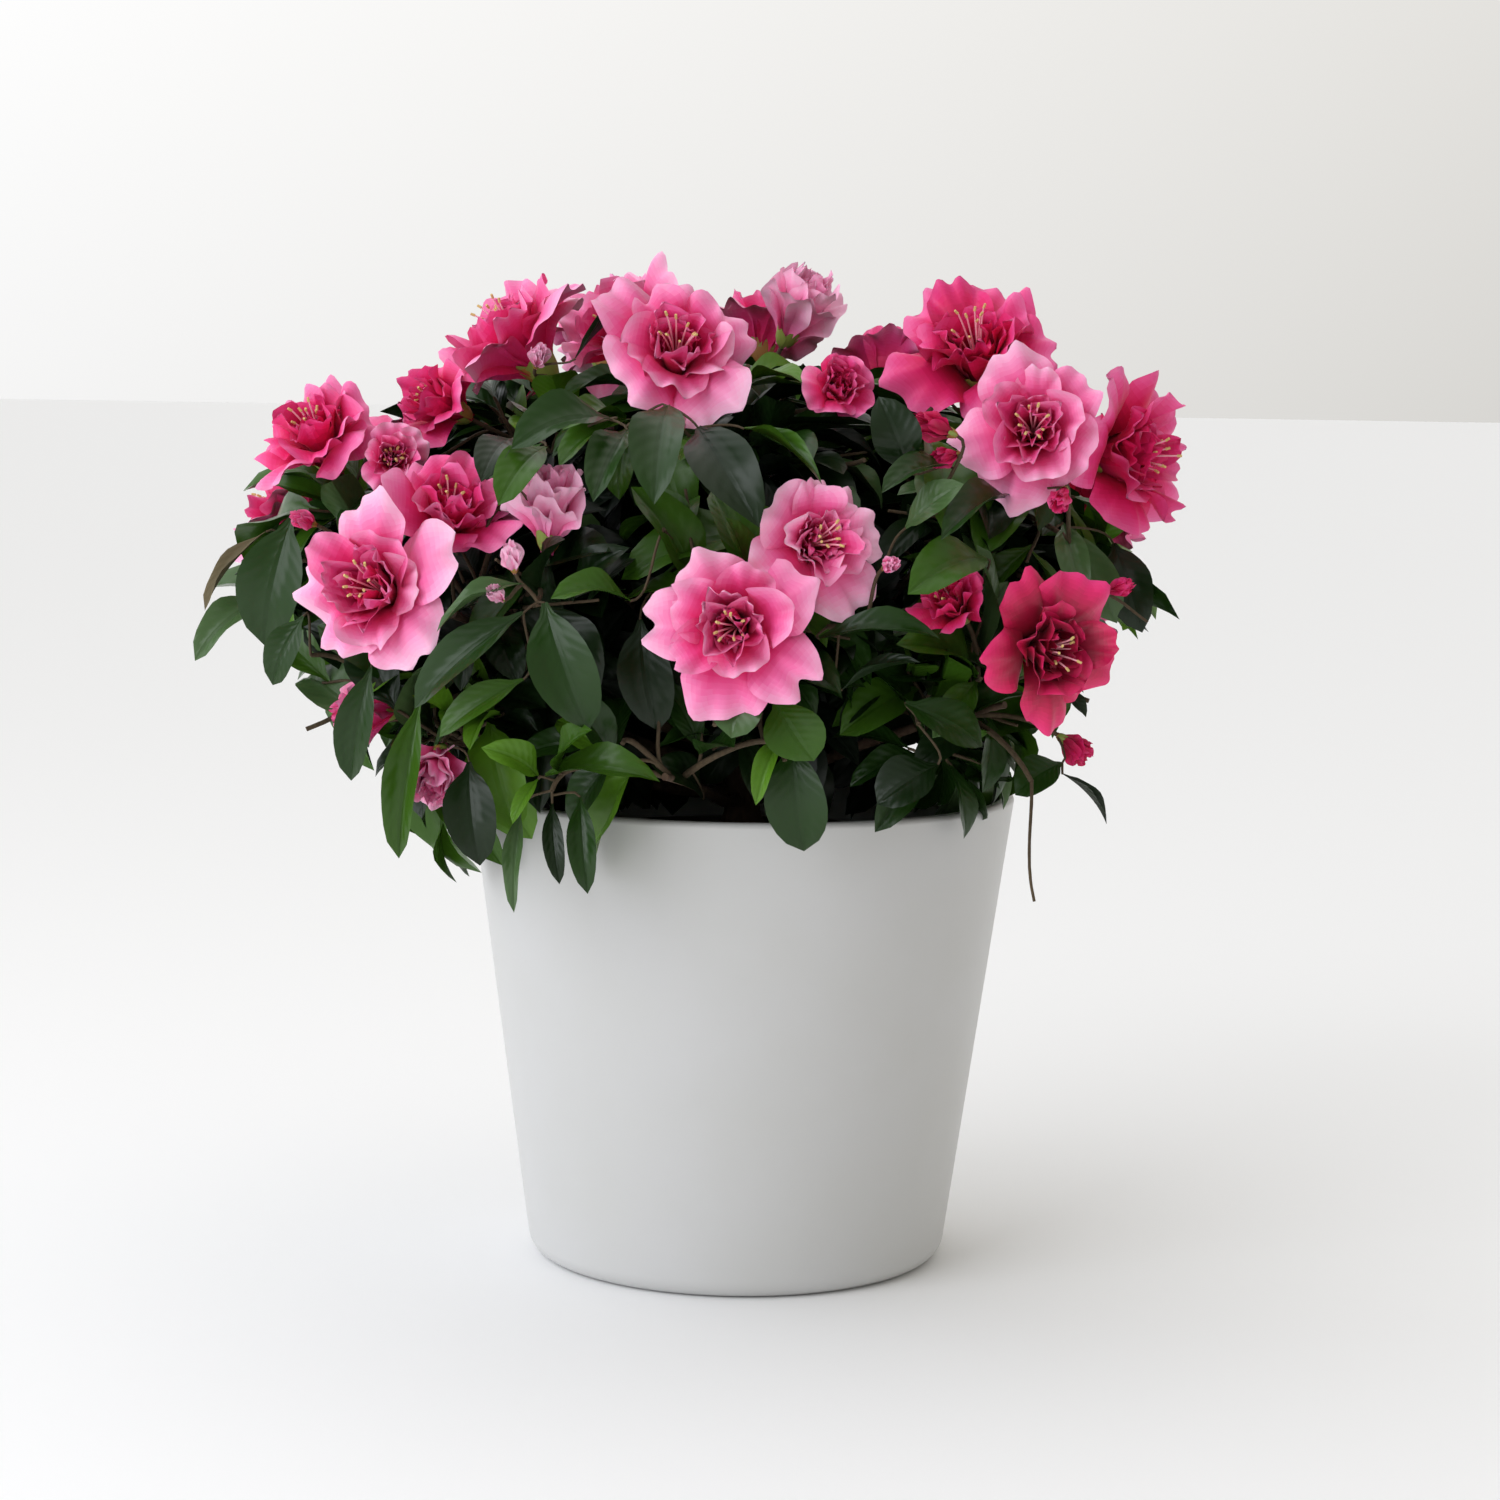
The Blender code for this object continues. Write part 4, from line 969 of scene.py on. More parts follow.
class Sheets:
    """Gathers thin sheets, such as petals and scales, as one mesh with a tone for each face."""

    def __init__(self, rows, columns, tones):
        self.rows, self.columns, self.tones = rows, columns, tones
        self.points, self.faces, self.chosen = [], [], []

    def add(self, base, axes, path, half_width, rng, cup=0.0, ruffle=0.0, notch=0.0, deep=0.5, fade=0.42):
        """One sheet. The axes are (outward, side, along the flower), the path four (out, high) handles."""
        outward, side, along = (np.array(axis)[None, None] for axis in axes)
        v = 1 - (1 - np.linspace(0, 1, self.rows + 1)[:, None]) ** 1.5
        u = np.linspace(-1, 1, self.columns + 1)[None, :]
        wide = (CLAW + BLADE * smooth_step(v / BROADEST)) * half_width
        rounding = np.clip(1 - (np.clip(v - ROUND_FROM, 0, 1) / ROUND_OVER) ** 2, 0, 1)
        wide = wide * rounding ** rng.uniform(*ROUNDNESS)
        aside, ahead = 0.95 * u * wide / half_width, (v - MARGIN_FROM) / MARGIN_OVER
        margin = np.clip(np.hypot(aside, np.maximum(ahead, 0)), 0, 1)
        angle = np.arctan2(aside, ahead)
        wave = np.sin(WAVES * angle + rng.uniform(0, 6))
        wave = wave + 0.6 * np.sin(SMALL_WAVES * angle + rng.uniform(0, 6))
        t = v - notch * np.exp(-((aside / NOTCH_WIDTH) ** 2)) * v**6 + 0.03 * wave * v**4
        (out, high), (outer, upper) = along_curve(path, t)
        normal = -upper[..., None] * outward + outer[..., None] * along
        lift = cup * (u * wide) ** 2 / half_width + ruffle * wave * margin**2 * smooth_step(v / 0.75)
        grid = base + out[..., None] * outward + high[..., None] * along + (u * wide)[..., None] * side
        grid = grid + lift[..., None] * normal
        first, wide_row = len(self.points), self.columns + 1
        self.points += [tuple(p) for p in grid.reshape(-1, 3)]
        depth = deep + fade * (1 - v) ** 1.1 - PALE_MARGIN * margin**3
        for i in range(self.rows):
            for j in range(self.columns):
                corner = first + i * wide_row + j
                self.faces.append((corner, corner + wide_row, corner + wide_row + 1, corner + 1))
                value = (depth[i, j] + depth[i + 1, j + 1]) / 2 * self.tones
                self.chosen.append(min(self.tones - 1, max(0, int(value))))

    def made(self, name, materials):
        mesh = bpy.data.meshes.new(name)
        mesh.from_pydata(self.points, [], self.faces)
        for material in materials:
            mesh.materials.append(material)
        mesh.polygons.foreach_set("material_index", self.chosen)
        mesh.polygons.foreach_set("use_smooth", [True] * len(self.faces))
        item = bpy.data.objects.new(name, mesh)
        bpy.context.scene.collection.objects.link(item)
        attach(item, "root")
        print(name, len(self.faces), "faces")


outer_petals = Sheets(20, 16, PETAL_TONES)
middle_petals = Sheets(18, 14, PETAL_TONES)
inner_petals = Sheets(10, 8, PETAL_TONES)
scales = Sheets(5, 4, 2)
petal_materials = [
    petal_skin(f"petal_tone_{i}", between(PETAL_KEYS, i / (PETAL_TONES - 1))) for i in range(PETAL_TONES)]
scale_materials = [
    surface("bud_scale_green", "#8FA04B", Roughness=0.5)[0],
    surface("bud_scale_tan", "#A8793C", Roughness=0.6)[0]]
print(len(petal_materials), "pinks")

# %% [markdown]
# ## Blooms
# A bloom is four whorls on one base: five broad outer petals, five that stand up between them, and two
# rings of small twisted ones in the throat. How far it has opened pulls the petals' ends together and
# upwards, so a half-open bell and a bud come from the same few lines. A bloom that doesn't fit its space
# shrinks a little, as in the frame.

# %% Blooms
FLOWERS_PROUD = 1.06
SMALLEST_FIT = 0.7
FIT_STEP = 0.05
GOLDEN_ANGLE = math.radians(137.5)
SHUT, OPENING = 0.42, 0.58  # how far the petals reach when shut, and what opening adds, in radii
STANDING = 0.95  # how far a shut bloom's petals stand up, in radii
SMALLEST_DOUBLE = 11 * MM  # blooms with a smaller radius have no small petals in the throat
STAMENS = 8
SCALES = 6
# what chance does to a petal: its turn and tilt in radians, its rise in radii, its length, breadth and tone
TURN_STRAY, TILT_STRAY, RISE_STRAY, TONE_STRAY = 0.22, 0.45, 0.2, 0.09
PETAL_LENGTHS = (0.78, 1.12)
PETAL_BREADTHS = (0.84, 1.12)
# petals, how many, turn in radians, reach and rise in radii, bulge, half breadth in radii, then how much
# deeper the pink is, how it fades, and how strong the cup, the ruffle and the notch are
WHORLS = (
    (outer_petals, 5, 0, 1.0, 0.0, 0.5, 0.50, 0.0, 0.38, -0.15, 0.075, 0.04),
    (middle_petals, 5, 0.63, 0.70, 0.30, 0.6, 0.36, 0.05, 0.34, 0.4, 0.09, 0.06),
    (inner_petals, 6, 0.3, 0.42, 0.40, 0.8, 0.22, 0.15, 0.34, 0.8, 0.07, 0.08),
    (inner_petals, 5, 0.1, 0.20, 0.30, 0.9, 0.15, 0.25, 0.30, 0.6, 0.07, 0.08),
)
stamen_paths, anther_paths, twig_paths, bloom_discs = [], [], [], []


def reach_of(radius, opened):
    """How far out the petals of a bloom reach: less while it is shut."""
    return radius * (SHUT + OPENING * opened)


def ring_samples(centre, direction, radius, opened):
    """Points round a bloom's rim and on its axis, for the test of its space."""
    across, up = flower_frame(direction, 0)
    wide, lip = reach_of(radius, opened), radius * STANDING * (1 - opened)
    points = [centre - direction * TUBE_DEPTH * radius, centre + direction * 0.3 * radius]
    for i in range(12):
        angle = math.tau * i / 12
        points.append(centre + direction * lip + (across * math.cos(angle) + up * math.sin(angle)) * wide)
    return np.array([tuple(p) for p in points])


def bloom_radius(mass, base, direction, width, opened):
    """The radius that fits, from the whole down to the smallest that the frame allows."""
    size = 1.0
    while size > SMALLEST_FIT:
        radius = width * MM / 2 * size
        samples = ring_samples(base + direction * TUBE_DEPTH * radius, direction, radius, opened)
        if crown_measure(samples).max() <= FLOWERS_PROUD and space.off_limbs(samples, mass, LIMB_MARGIN):
            return radius
        size -= FIT_STEP
    return radius


def put_scales(base, direction, radius, rng):
    """Bud scales and sepals that clasp the foot of a flower."""
    for i in range(SCALES):
        axes = (*flower_frame(direction, i * math.tau / SCALES + rng.uniform(-0.3, 0.3)), direction)
        long = radius * rng.uniform(0.30, 0.46)
        path = ((0, -0.06 * radius), (0.16 * radius, 0), (0.20 * radius, 0.5 * long), (0.24 * radius, long))
        scales.add(np.array(base), axes, path, 0.13 * radius, rng, cup=0.4, deep=rng.choice((0.1, 0.6)))


def bloom(label, base, direction, radius, opened, deep):
    """The petals, stamens and scales of one flower."""
    rng = random.Random(label)
    twist = rng.uniform(0, math.tau)
    wide = reach_of(radius, opened)
    lip = radius * (0.02 + STANDING * (1 - opened))
    tube = TUBE_DEPTH * radius
    blush = 0.55 * deep + 0.35 * deep**2
    for petals, count, turn, reach, rise, bulge, half, deeper, fade, cup, ruffle, notch in WHORLS:
        if petals is inner_petals and radius <= SMALLEST_DOUBLE:
            continue
        for i in range(count):
            stray = rng.uniform(-TURN_STRAY, TURN_STRAY)
            outward, side = flower_frame(direction, twist + turn + math.tau * i / count + stray)
            side.rotate(Quaternion(outward, rng.uniform(-TILT_STRAY, TILT_STRAY)))
            far = reach * wide * rng.uniform(*PETAL_LENGTHS)
            high = tube + lip + (rise + rng.uniform(-RISE_STRAY, RISE_STRAY) * opened) * radius
            throat = ((0.06 * radius, 0), (0.12 * radius, 0.8 * tube))
            path = (*throat, (bulge * far, tube + 0.22 * radius), (far, high))
            breadth = half * radius * rng.uniform(*PETAL_BREADTHS)
            tone = blush + deeper + rng.uniform(-TONE_STRAY, TONE_STRAY)
            petals.add(
                np.array(base), (outward, side, direction), path, breadth, rng, deep=tone,
                fade=0.10 + fade * opened, cup=cup, ruffle=ruffle * radius, notch=notch)
    put_scales(base, direction, radius, rng)
    if opened > 0.6:
        for i in range(STAMENS):
            outward, _ = flower_frame(direction, twist + i * GOLDEN_ANGLE)
            aside = rng.uniform(0.08, 0.2) * radius
            height = tube + rng.uniform(0.3, 0.55) * radius
            end = base + direction * height + outward * aside
            bend = base + direction * height * 0.8 + outward * aside * 0.5
            handles = (base, base + direction * tube * 0.5, bend, end)
            stamen_paths.append(Limb(handles, (0.4 * MM, 0.25 * MM), 4).drawn(9))
            anther_paths.append([(end, 0.45 * MM), (end + (direction + outward * 0.6) * 1.2 * MM, 0.4 * MM)])


# blooms that the photograph shows wider or further open than the frame has room for: width and openness
FULLER = {
    "shoot_3": (56, 1.0), "shoot_4": (50, 1.0), "shoot_28": (42, 0.9), "shoot_6": (36, 0.55),
    "shoot_7": (28, 0.6), "shoot_12": (44, 0.85), "shoot_13": (35, 0.55),
}
for mass, label, twig, flower in shoots:
    if flower:
        _, _, width, bearing, elevation, opened, deep = flower
        direction, base = facing(bearing, elevation), twig.points[-1]
        if label in FULLER:
            width, opened = FULLER[label]
        radius = bloom_radius(mass, base, direction, width, opened)
        bloom(label, base, direction, radius, opened, deep)
        bloom_discs.append((base + direction * TUBE_DEPTH * radius, direction, radius, opened))

# %% [markdown]
# ## Buds
# Between the open flowers stand a few that haven't opened: an oval of furled petals in tan and green
# scales. They are the same bloom, nearly shut, on a short stalk from the nearest twig.

# %% Buds
BUD_RADIUS = 0.62  # of a bud's width
BUD_OPEN = 0.02
STALK_RADIUS = 0.7 * MM
BARE_RADIUS = 0.55 * MM
LEAF_STALK_RADIUS = 0.45 * MM
# place and width in millimetres, bearing, elevation and how deep a pink
BUDS = (
    ((-65, -112, 224), 9, -15, 60, 0.2), ((-69, -113, 214), 7, -30, 30, 0.1),
    ((-60, -100, 245), 8, 0, 80, 0.2), ((-62, -52, 280), 9, 20, 40, 0.1),
    ((90, -86, 243), 10, -20, -30, 0.75), ((54, -90, 262), 12, -80, 20, 0.95),
    ((57, -88, 254), 9, -60, -10, 0.9), ((108, -72, 216), 8, 70, 20, 0.9),
    ((-20, -70, 262), 8, -20, 30, 0.3), ((40, -112, 224), 7, 30, 20, 0.4),
    ((-128, -72, 232), 8, -50, 20, 0.6),
)
# twigs that have lost their leaves: place of the end and the way that it points
BARE_TIPS = (((84, -100, 128), (0.3, -0.1, -1)), ((118, -66, 206), (0.8, 0, -0.5)))


def nearest_on_twigs(place):
    """The nearest point of the twigs drawn so far."""
    points = (point for path in twig_paths for point, _ in path[3:])
    return min(points, key=lambda point: (point - place).length)


def put_stalk(place, way, thickness):
    """A short stalk from the nearest twig to a place, arriving along the way that it points."""
    start = nearest_on_twigs(place)
    gap = (place - start).length
    if gap > 0.5 * MM:
        handles = (start, start.lerp(place, 0.4) + Vector((0, 0, 0.1 * gap)), place - way * gap * 0.3, place)
        twig_paths.append(Limb(handles, (thickness, thickness * 0.8), 4).drawn(8))


twig_paths += [twig.drawn(14) for _, _, twig, _ in shoots]
for i, (place, width, bearing, elevation, deep) in enumerate(BUDS):
    direction = facing(bearing, elevation)
    base = Vector(place) * MM - direction * width * 0.5 * MM
    put_stalk(base, direction, STALK_RADIUS)
    bloom(f"bud_{i}", base, direction, width * MM * BUD_RADIUS, BUD_OPEN, deep)
    bloom_discs.append((Vector(place) * MM, direction, width * MM / 2, 0.3))

for place, way in BARE_TIPS:
    put_stalk(Vector(place) * MM, Vector(way).normalized(), BARE_RADIUS)

outer_petals.made("outer_petals", petal_materials)
middle_petals.made("middle_petals", petal_materials)
inner_petals.made("inner_petals", petal_materials)
scales.made("bud_scales", scale_materials)
filament = surface("stamen_filament", "#FFB9C8", Roughness=0.5)[0]
pollen = surface("pollen_sac", "#D9BD7A", Roughness=0.8)[0]
thread = {"Sides": 5, "Step": 1.5 * MM, "Relief": 0.0, "Grain": 1 * MM, "Material": filament}
stamens = grow("stamens", paths_mesh("stamen_paths", stamen_paths), limbs, thread)
sacs = {**thread, "Step": 0.5 * MM, "Material": pollen}
anthers = grow("anthers", paths_mesh("anther_paths", anther_paths), limbs, sacs)
for piece in (stamens, anthers):
    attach(piece, "root")

# %% [markdown]
# ## One leaf, in a few forms
# An azalea leaf is a blunt ellipse with a sunken midrib: each half is slightly cushioned, the whole blade
# arches and its tip droops. A shape that is repeated many hundred times must be light, so a form has
# forty faces, and there are eight of them with other folds, twists and waves. Each is one unit long and
# one wide, so that the scatter can stretch it.

# %% Leaf forms
LEAF_ROWS = 10
LEAF_ACROSS = (-1, -0.5, 0, 0.5, 1)
LEAF_FORMS = 8
LEAF_STALK, LEAF_BLADE = 0.07, 0.93  # of the leaf's length
STALK_HALF = 0.045  # of its breadth, and as much again is the cushion of each half


def leaf_breadth(t):
    """Half the leaf's breadth, as a share of its full breadth, at this share of its length."""
    if t < LEAF_STALK:
        return STALK_HALF
    s = (t - LEAF_STALK) / LEAF_BLADE
    return max(0.5 * math.sin(math.pi * s**1.06) ** 0.58, STALK_HALF * (1 - s))


def leaf_form(name, arch, droop, fold, twist, sway, wave):
    """A leaf from (0, 0, 0) to about (1, 0, 0), as shares of its length and of its breadth."""
    mesh = bpy.data.meshes.new(name)
    points = []
    for i in range(LEAF_ROWS + 1):
        t = i / LEAF_ROWS
        half = leaf_breadth(t)
        turn = twist * t * t
        for s in LEAF_ACROSS:
            side = s * half * math.cos(fold)
            lift = abs(s) * half * math.sin(fold) * 0.5 + STALK_HALF * half * (abs(s) == 0.5)
            lift += wave * math.sin(9 * t + 2 * s) * abs(s) * half
            spine = 4 * arch * t * (1 - t) - droop * t**3
            y = side * math.cos(turn) - lift * math.sin(turn) + sway * t * t
            z = spine + side * math.sin(turn) * 0.5 + lift * math.cos(turn)
            points.append((t, y, z))
    wide = len(LEAF_ACROSS)
    faces = [(i * wide + j, (i + 1) * wide + j, (i + 1) * wide + j + 1, i * wide + j + 1)
             for i in range(LEAF_ROWS) for j in range(wide - 1)]
    mesh.from_pydata(points, [], faces)
    layer = mesh.uv_layers.new(name="UVMap")
    for loop in mesh.loops:
        row, column = divmod(loop.vertex_index, wide)
        layer.data[loop.index].uv = (0.5 + LEAF_ACROSS[column] / 2, row / LEAF_ROWS)
    for face in mesh.polygons:
        face.use_smooth = True
    return bpy.data.objects.new(name, mesh)


leaf_forms = bpy.data.collections.new("leaf_forms")
shapes = random.Random(3)
for i in range(LEAF_FORMS):
    leaf_forms.objects.link(leaf_form(
        f"leaf_form_{i}", arch=shapes.uniform(0.03, 0.11), droop=shapes.uniform(0, 0.16),
        fold=shapes.uniform(0.25, 0.8), twist=shapes.uniform(-0.5, 0.5), sway=shapes.uniform(-0.12, 0.12),
        wave=shapes.uniform(0.02, 0.10)))

# %% [markdown]
# ## The leaf's surface
# The upper skin is a tough, dark cuticle with a dull polish, and the veins are drawn into it: a sunken
# midrib, with pairs of side veins about 5 mm apart that run forward to the margin. They are too fine to
# model, so they are bumps, worked out from the leaf's own UV map. The colours are plain base colours,
# dealt out shoot by shoot: dark green for old leaves, yellower and paler greens for young ones, and two
# near-black greens that are painted shade, mostly for the leaves inside the crown.

# %% Leaf surface
VEIN_PAIRS = 8
VEIN_SLANT = -0.55
VEIN_DEPTH = 0.12  # of the midrib's
RIB_HALF = 0.07  # of the leaf's breadth


def leaf_cuticle(name, colour, roughness):
    """Waxy azalea leaf: a plain green with a dull polish and sunken veins."""
    material, tree, shader = surface(name, colour, Roughness=roughness, Specular_IOR_Level=0.32)
    place = add(tree, "ShaderNodeUVMap", {"uv_map": "UVMap"})
    split = add(tree, "ShaderNodeSeparateXYZ", {0: place})
    out = worked(tree, "ABSOLUTE", worked(tree, "SUBTRACT", split.outputs["X"], 0.5))
    rib = add(tree, "ShaderNodeMapRange", {"Value": out, "From Min": 0.0, "From Max": RIB_HALF})
    phase = worked(tree, "MULTIPLY_ADD", out, VEIN_SLANT, split.outputs["Y"])
    veins = worked(tree, "SINE", worked(tree, "MULTIPLY", phase, VEIN_PAIRS * math.tau))
    emboss(tree, shader, worked(tree, "MULTIPLY_ADD", veins, VEIN_DEPTH, rib), 0.35, 0.6 * MM)
    return material


# The first two greens are near-black painted shade; they go mostly to the leaves inside the crown.
LEAF_TONES = [
    leaf_cuticle("leaf_painted_deep_shade", "#09160A", 0.45), leaf_cuticle("leaf_old_painted_shade", "#11240A", 0.34),
    leaf_cuticle("leaf_old", "#1F3B10", 0.30), leaf_cuticle("leaf_grey_green", "#486339", 0.28),
    leaf_cuticle("leaf_full", "#375B13", 0.32), leaf_cuticle("leaf_young", "#54801B", 0.40),
    leaf_cuticle("leaf_dry", "#6B6045", 0.60),
]
print(len(LEAF_TONES), "greens")

# %% [markdown]
# ## Growing the leaves
# The leaves that stand out in the photograph are set one by one, each from its root to its tip, on a fine
# stalk from the nearest twig. All the others come by rule: in whorls at the shoot's end, spiralling back
# from it by the golden angle, as the frame's do. Here they are more, and every shoot then puts out finer
# side twigs with whorls of their own. A leaf that doesn't fit is tried again smaller, and is then
# skipped. No leaf may stand in front of a bloom, and deep inside the crown the leaves take the
# near-black greens, as painted shade.

# %% Leaf rule
LEAF_LENGTH = 43 * MM
LEAF_WIDTH = 22 * MM
LEAF_SIZES = (1.0, 0.84, 0.68, 0.54)
LEAVES_PER_SHOOT = 9
LEAVES_UNDER_FLOWER = 6
LEAVES_PER_SIDE_TWIG = 5
LEAF_TRIES = 24
LEAF_STEP = 1.0 * MM
LEAF_APART = 1.6 * MM
OVERLAP = -4 * MM  # how far a leaf may lean into the next mass's space
LEAF_TOP = 78 * MM  # above the crown's centre, because the flowers stand proud of the leaves
LEAF_FRONT = 122 * MM
LEFT_UNDERCUT, RIGHT_UNDERCUT = 0.62, 0.3  # how much narrower the leaves' room is at its lowest
# Shoots that end further in bear the near-black greens, painted shade for the crown's dark inside.
OUTER_SHARE = 0.72  # of the leaves' room: shoots that end further out bear the lighter greens
# The deepest green is painted shade, so a leaf that reaches further out takes the next green instead.
OUTSIDE = 0.80  # leaves that reach further out than this take none of the deepest green
FORESHORTENED = 1.08  # a listed front leaf is this much broader than it looks
# the room in front of a bloom, which its petals need to be seen
BLOOM_BEHIND = 0.35  # radii
BLOOM_AHEAD = 30 * MM
BLOOM_EDGE = 0.96  # radii
BLOOM_WIDENS = 0.35
ROOM_AROUND = 80 * MM  # how near limbs and seeds are, when a leaf is tried against them
TAKEN_AROUND = 90 * MM  # and how near other leaves are
DROOPS = (0.05, 0.38)  # how far a leaf's direction sinks
BREADTHS = (0.85, 1.12)  # of LEAF_WIDTH
SIDE_TWIGS = 3
SIDE_TWIG_LENGTHS = (14, 24)  # millimetres
SIDE_TWIG_REACH = 0.97
grown = {"place": [], "turn": [], "size": [], "form": [], "tone": []}

# root and tip in millimetres, breadth, how far the upper side turns to the front, and tone
FRONT_LEAVES = (
    ((-39, -90, 263), (-66, -108, 257), 18, 0.45, 2), ((-67, -88, 257), (-75, -113, 246), 10, 0.5, 1),
    ((-57, -94, 255), (-70, -117, 240), 12, 0.6, 4), ((-34, -94, 260), (-43, -121, 241), 14, 0.6, 2),
    ((-23, -87, 267), (-25, -122, 242), 17, 0.7, 2), ((-14, -94, 261), (1, -124, 237), 20, 0.7, 1),
    ((-1, -93, 261), (21, -118, 248), 4, 0.3, 4), ((-32, -113, 213), (-53, -126, 216), 12, 0.4, 4),
    ((-56, -111, 212), (-45, -119, 177), 21, 0.8, 2), ((-62, -110, 209), (-94, -110, 183), 13, 0.6, 2),
    ((-62, -107, 190), (-86, -111, 175), 10, 0.6, 4), ((-62, -109, 217), (-86, -119, 207), 7, 0.4, 3),
    ((0, -109, 192), (-5, -118, 176), 16, 0.7, 3), ((9, -106, 185), (18, -111, 168), 17, 0.75, 4),
    ((14, -100, 173), (17, -100, 141), 20, 0.75, 2), ((11, -102, 175), (3, -111, 157), 7, 0.5, 5),
    ((21, -109, 203), (54, -115, 206), 11, 0.5, 2), ((28, -102, 188), (48, -115, 199), 5, 0.3, 1),
    ((69, -89, 225), (44, -119, 218), 15, 0.6, 4), ((45, -101, 234), (61, -107, 246), 11, 0.55, 3),
    ((76, -78, 242), (55, -113, 233), 11, 0.5, 2), ((58, -86, 251), (38, -114, 247), 10, 0.5, 2),
    ((46, -93, 250), (37, -98, 270), 15, 0.7, 1), ((93, -60, 234), (98, -81, 213), 10, 0.7, 3),
    ((94, -57, 233), (108, -63, 205), 14, 0.7, 3), ((109, -50, 228), (117, -62, 204), 15, 0.7, 1),
    ((-134, -58, 232), (-143, -62, 195), 21, 0.75, 2), ((-144, -38, 207), (-165, -48, 190), 12, 0.5, 3),
    ((-129, -69, 204), (-140, -71, 185), 11, 0.6, 2), ((-144, -40, 227), (-164, -46, 206), 4, 0.3, 6),
    ((-107, -88, 191), (-114, -88, 158), 12, 0.7, 2), ((-92, -95, 183), (-98, -98, 137), 11, 0.7, 4),
    ((-78, -96, 165), (-75, -106, 137), 17, 0.75, 1), ((-63, -97, 152), (-65, -106, 124), 6, 0.6, 3),
    ((-54, -99, 154), (-52, -108, 132), 6, 0.6, 1), ((-46, -100, 156), (-43, -110, 130), 9, 0.6, 2),
    ((-58, -101, 162), (-72, -114, 172), 11, 0.6, 5), ((-56, -101, 162), (-24, -116, 164), 13, 0.5, 4),
    ((-58, -100, 161), (-65, -109, 150), 5, 0.5, 5), ((-52, -102, 163), (-43, -119, 178), 11, 0.5, 4),
    ((-51, -54, 280), (-34, -40, 297), 4, 0.4, 1), ((94, -66, 164), (79, -74, 158), 13, 0.5, 2),
    ((94, -68, 161), (108, -72, 148), 4, 0.3, 1), ((92, -70, 186), (100, -74, 179), 6, 0.4, 1),
    ((-30, -88, 206), (-27, -95, 175), 16, 0.7, 1), ((46, -96, 184), (69, -96, 172), 15, 0.5, 2),
    ((56, -92, 166), (39, -98, 155), 17, 0.6, 1), ((-12, -68, 152), (-26, -93, 166), 12, 0.6, 1),
)


def leaf_room(points):
    """How far out each point lies in the room that the leaves keep to: 1 on its limit."""
    x, y, z = (points - np.array(CROWN_CENTRE)).T
    x = x - CROWN_LEAN * z
    down = np.clip(-z / CROWN_BELOW, 0, 1)
    undercut = np.where(x < 0, LEFT_UNDERCUT, RIGHT_UNDERCUT) * down**0.7
    across = np.abs(x) / (CROWN_HALF_WIDTH * (1 - undercut))
    depth = np.where(y < 0, LEAF_FRONT, CROWN_HALF_DEPTH * 0.97)
    deep = np.abs(y) / (depth * (1 - NARROWER_DEPTH * down))
    plan = (across**BOXY + deep**BOXY) ** (1 / BOXY)
    dome = (plan**BOXY + (np.maximum(z, 0) / LEAF_TOP) ** BOXY) ** (1 / BOXY)
    return np.maximum(dome, -z / CROWN_BELOW)


disc_centres, disc_ways = (np.array([tuple(disc[i]) for disc in bloom_discs]) for i in (0, 1))
disc_radii = np.array([reach_of(disc[2], disc[3]) for disc in bloom_discs])


def hides_a_bloom(points):
    """A point lies in a bloom or in the widening room in front of it."""
    away = points[:, None] - disc_centres[None]
    ahead = (away * disc_ways[None]).sum(2)
    aside = np.linalg.norm(away - ahead[..., None] * disc_ways[None], axis=2)
    behind = -BLOOM_BEHIND * disc_radii
    wide = disc_radii * BLOOM_EDGE + BLOOM_WIDENS * ahead
    before = (ahead > behind) & (ahead < BLOOM_AHEAD) & (aside < wide)
    tube = (ahead <= behind) & (ahead > -disc_radii) & (aside < disc_radii + ahead)
    return bool((before | tube).any())


def leaf_axes(way, above):
    """The leaf's own axes as a matrix: X along it, Z out of its upper side."""
    side = above.cross(way).normalized()
    return Matrix((way, side, way.cross(side))).transposed()


def blade_samples(root, axes, length, width):
    """Points over a leaf, in rows from its root to its tip."""
    way, side, face = (np.array(axes.col[i]) for i in range(3))
    samples = []
    for t in np.linspace(0, 1, 8):
        for s in (-1, 0, 1):
            across = side * s * leaf_breadth(t) * width
            samples.append(np.array(root) + way * t * length + across + face * 0.3 * length * t * (1 - t))
    return np.array(samples)


def put_leaf(root, axes, length, width, tone, rng):
    grown["place"].append(tuple(root))
    grown["turn"].append(tuple(axes.to_euler()))
    grown["size"].append((length, width, length))
    grown["form"].append(rng.randrange(LEAF_FORMS))
    grown["tone"].append(tone)


front_points, front_breadths = [], []
by_hand = random.Random(21)
for root, tip, breadth, front, tone in FRONT_LEAVES:
    root, tip = Vector(root) * MM, Vector(tip) * MM
    way = (tip - root).normalized()
    axes = leaf_axes(way, Vector((-0.15 * front, -front, 1 - front)))
    put_stalk(root, way, LEAF_STALK_RADIUS)
    put_leaf(root, axes, (tip - root).length, breadth * MM * FORESHORTENED, tone, by_hand)
    front_points += [tuple(root.lerp(tip, t)) for t in (0.2, 0.4, 0.6, 0.8)]
    front_breadths += [breadth * MM / 2] * 4
front_points, front_breadths = np.array(front_points), np.array(front_breadths)
print(len(FRONT_LEAVES), "leaves set by hand")


def hides_a_front_leaf(points):
    """A point lies on one of the listed front leaves, or before it as seen from the front."""
    away = points[:, None] - front_points[None]
    over = np.hypot(away[..., 0], away[..., 2]) < front_breadths + 1.5 * MM
    return bool((over & (away[..., 1] < 4 * MM)).any())


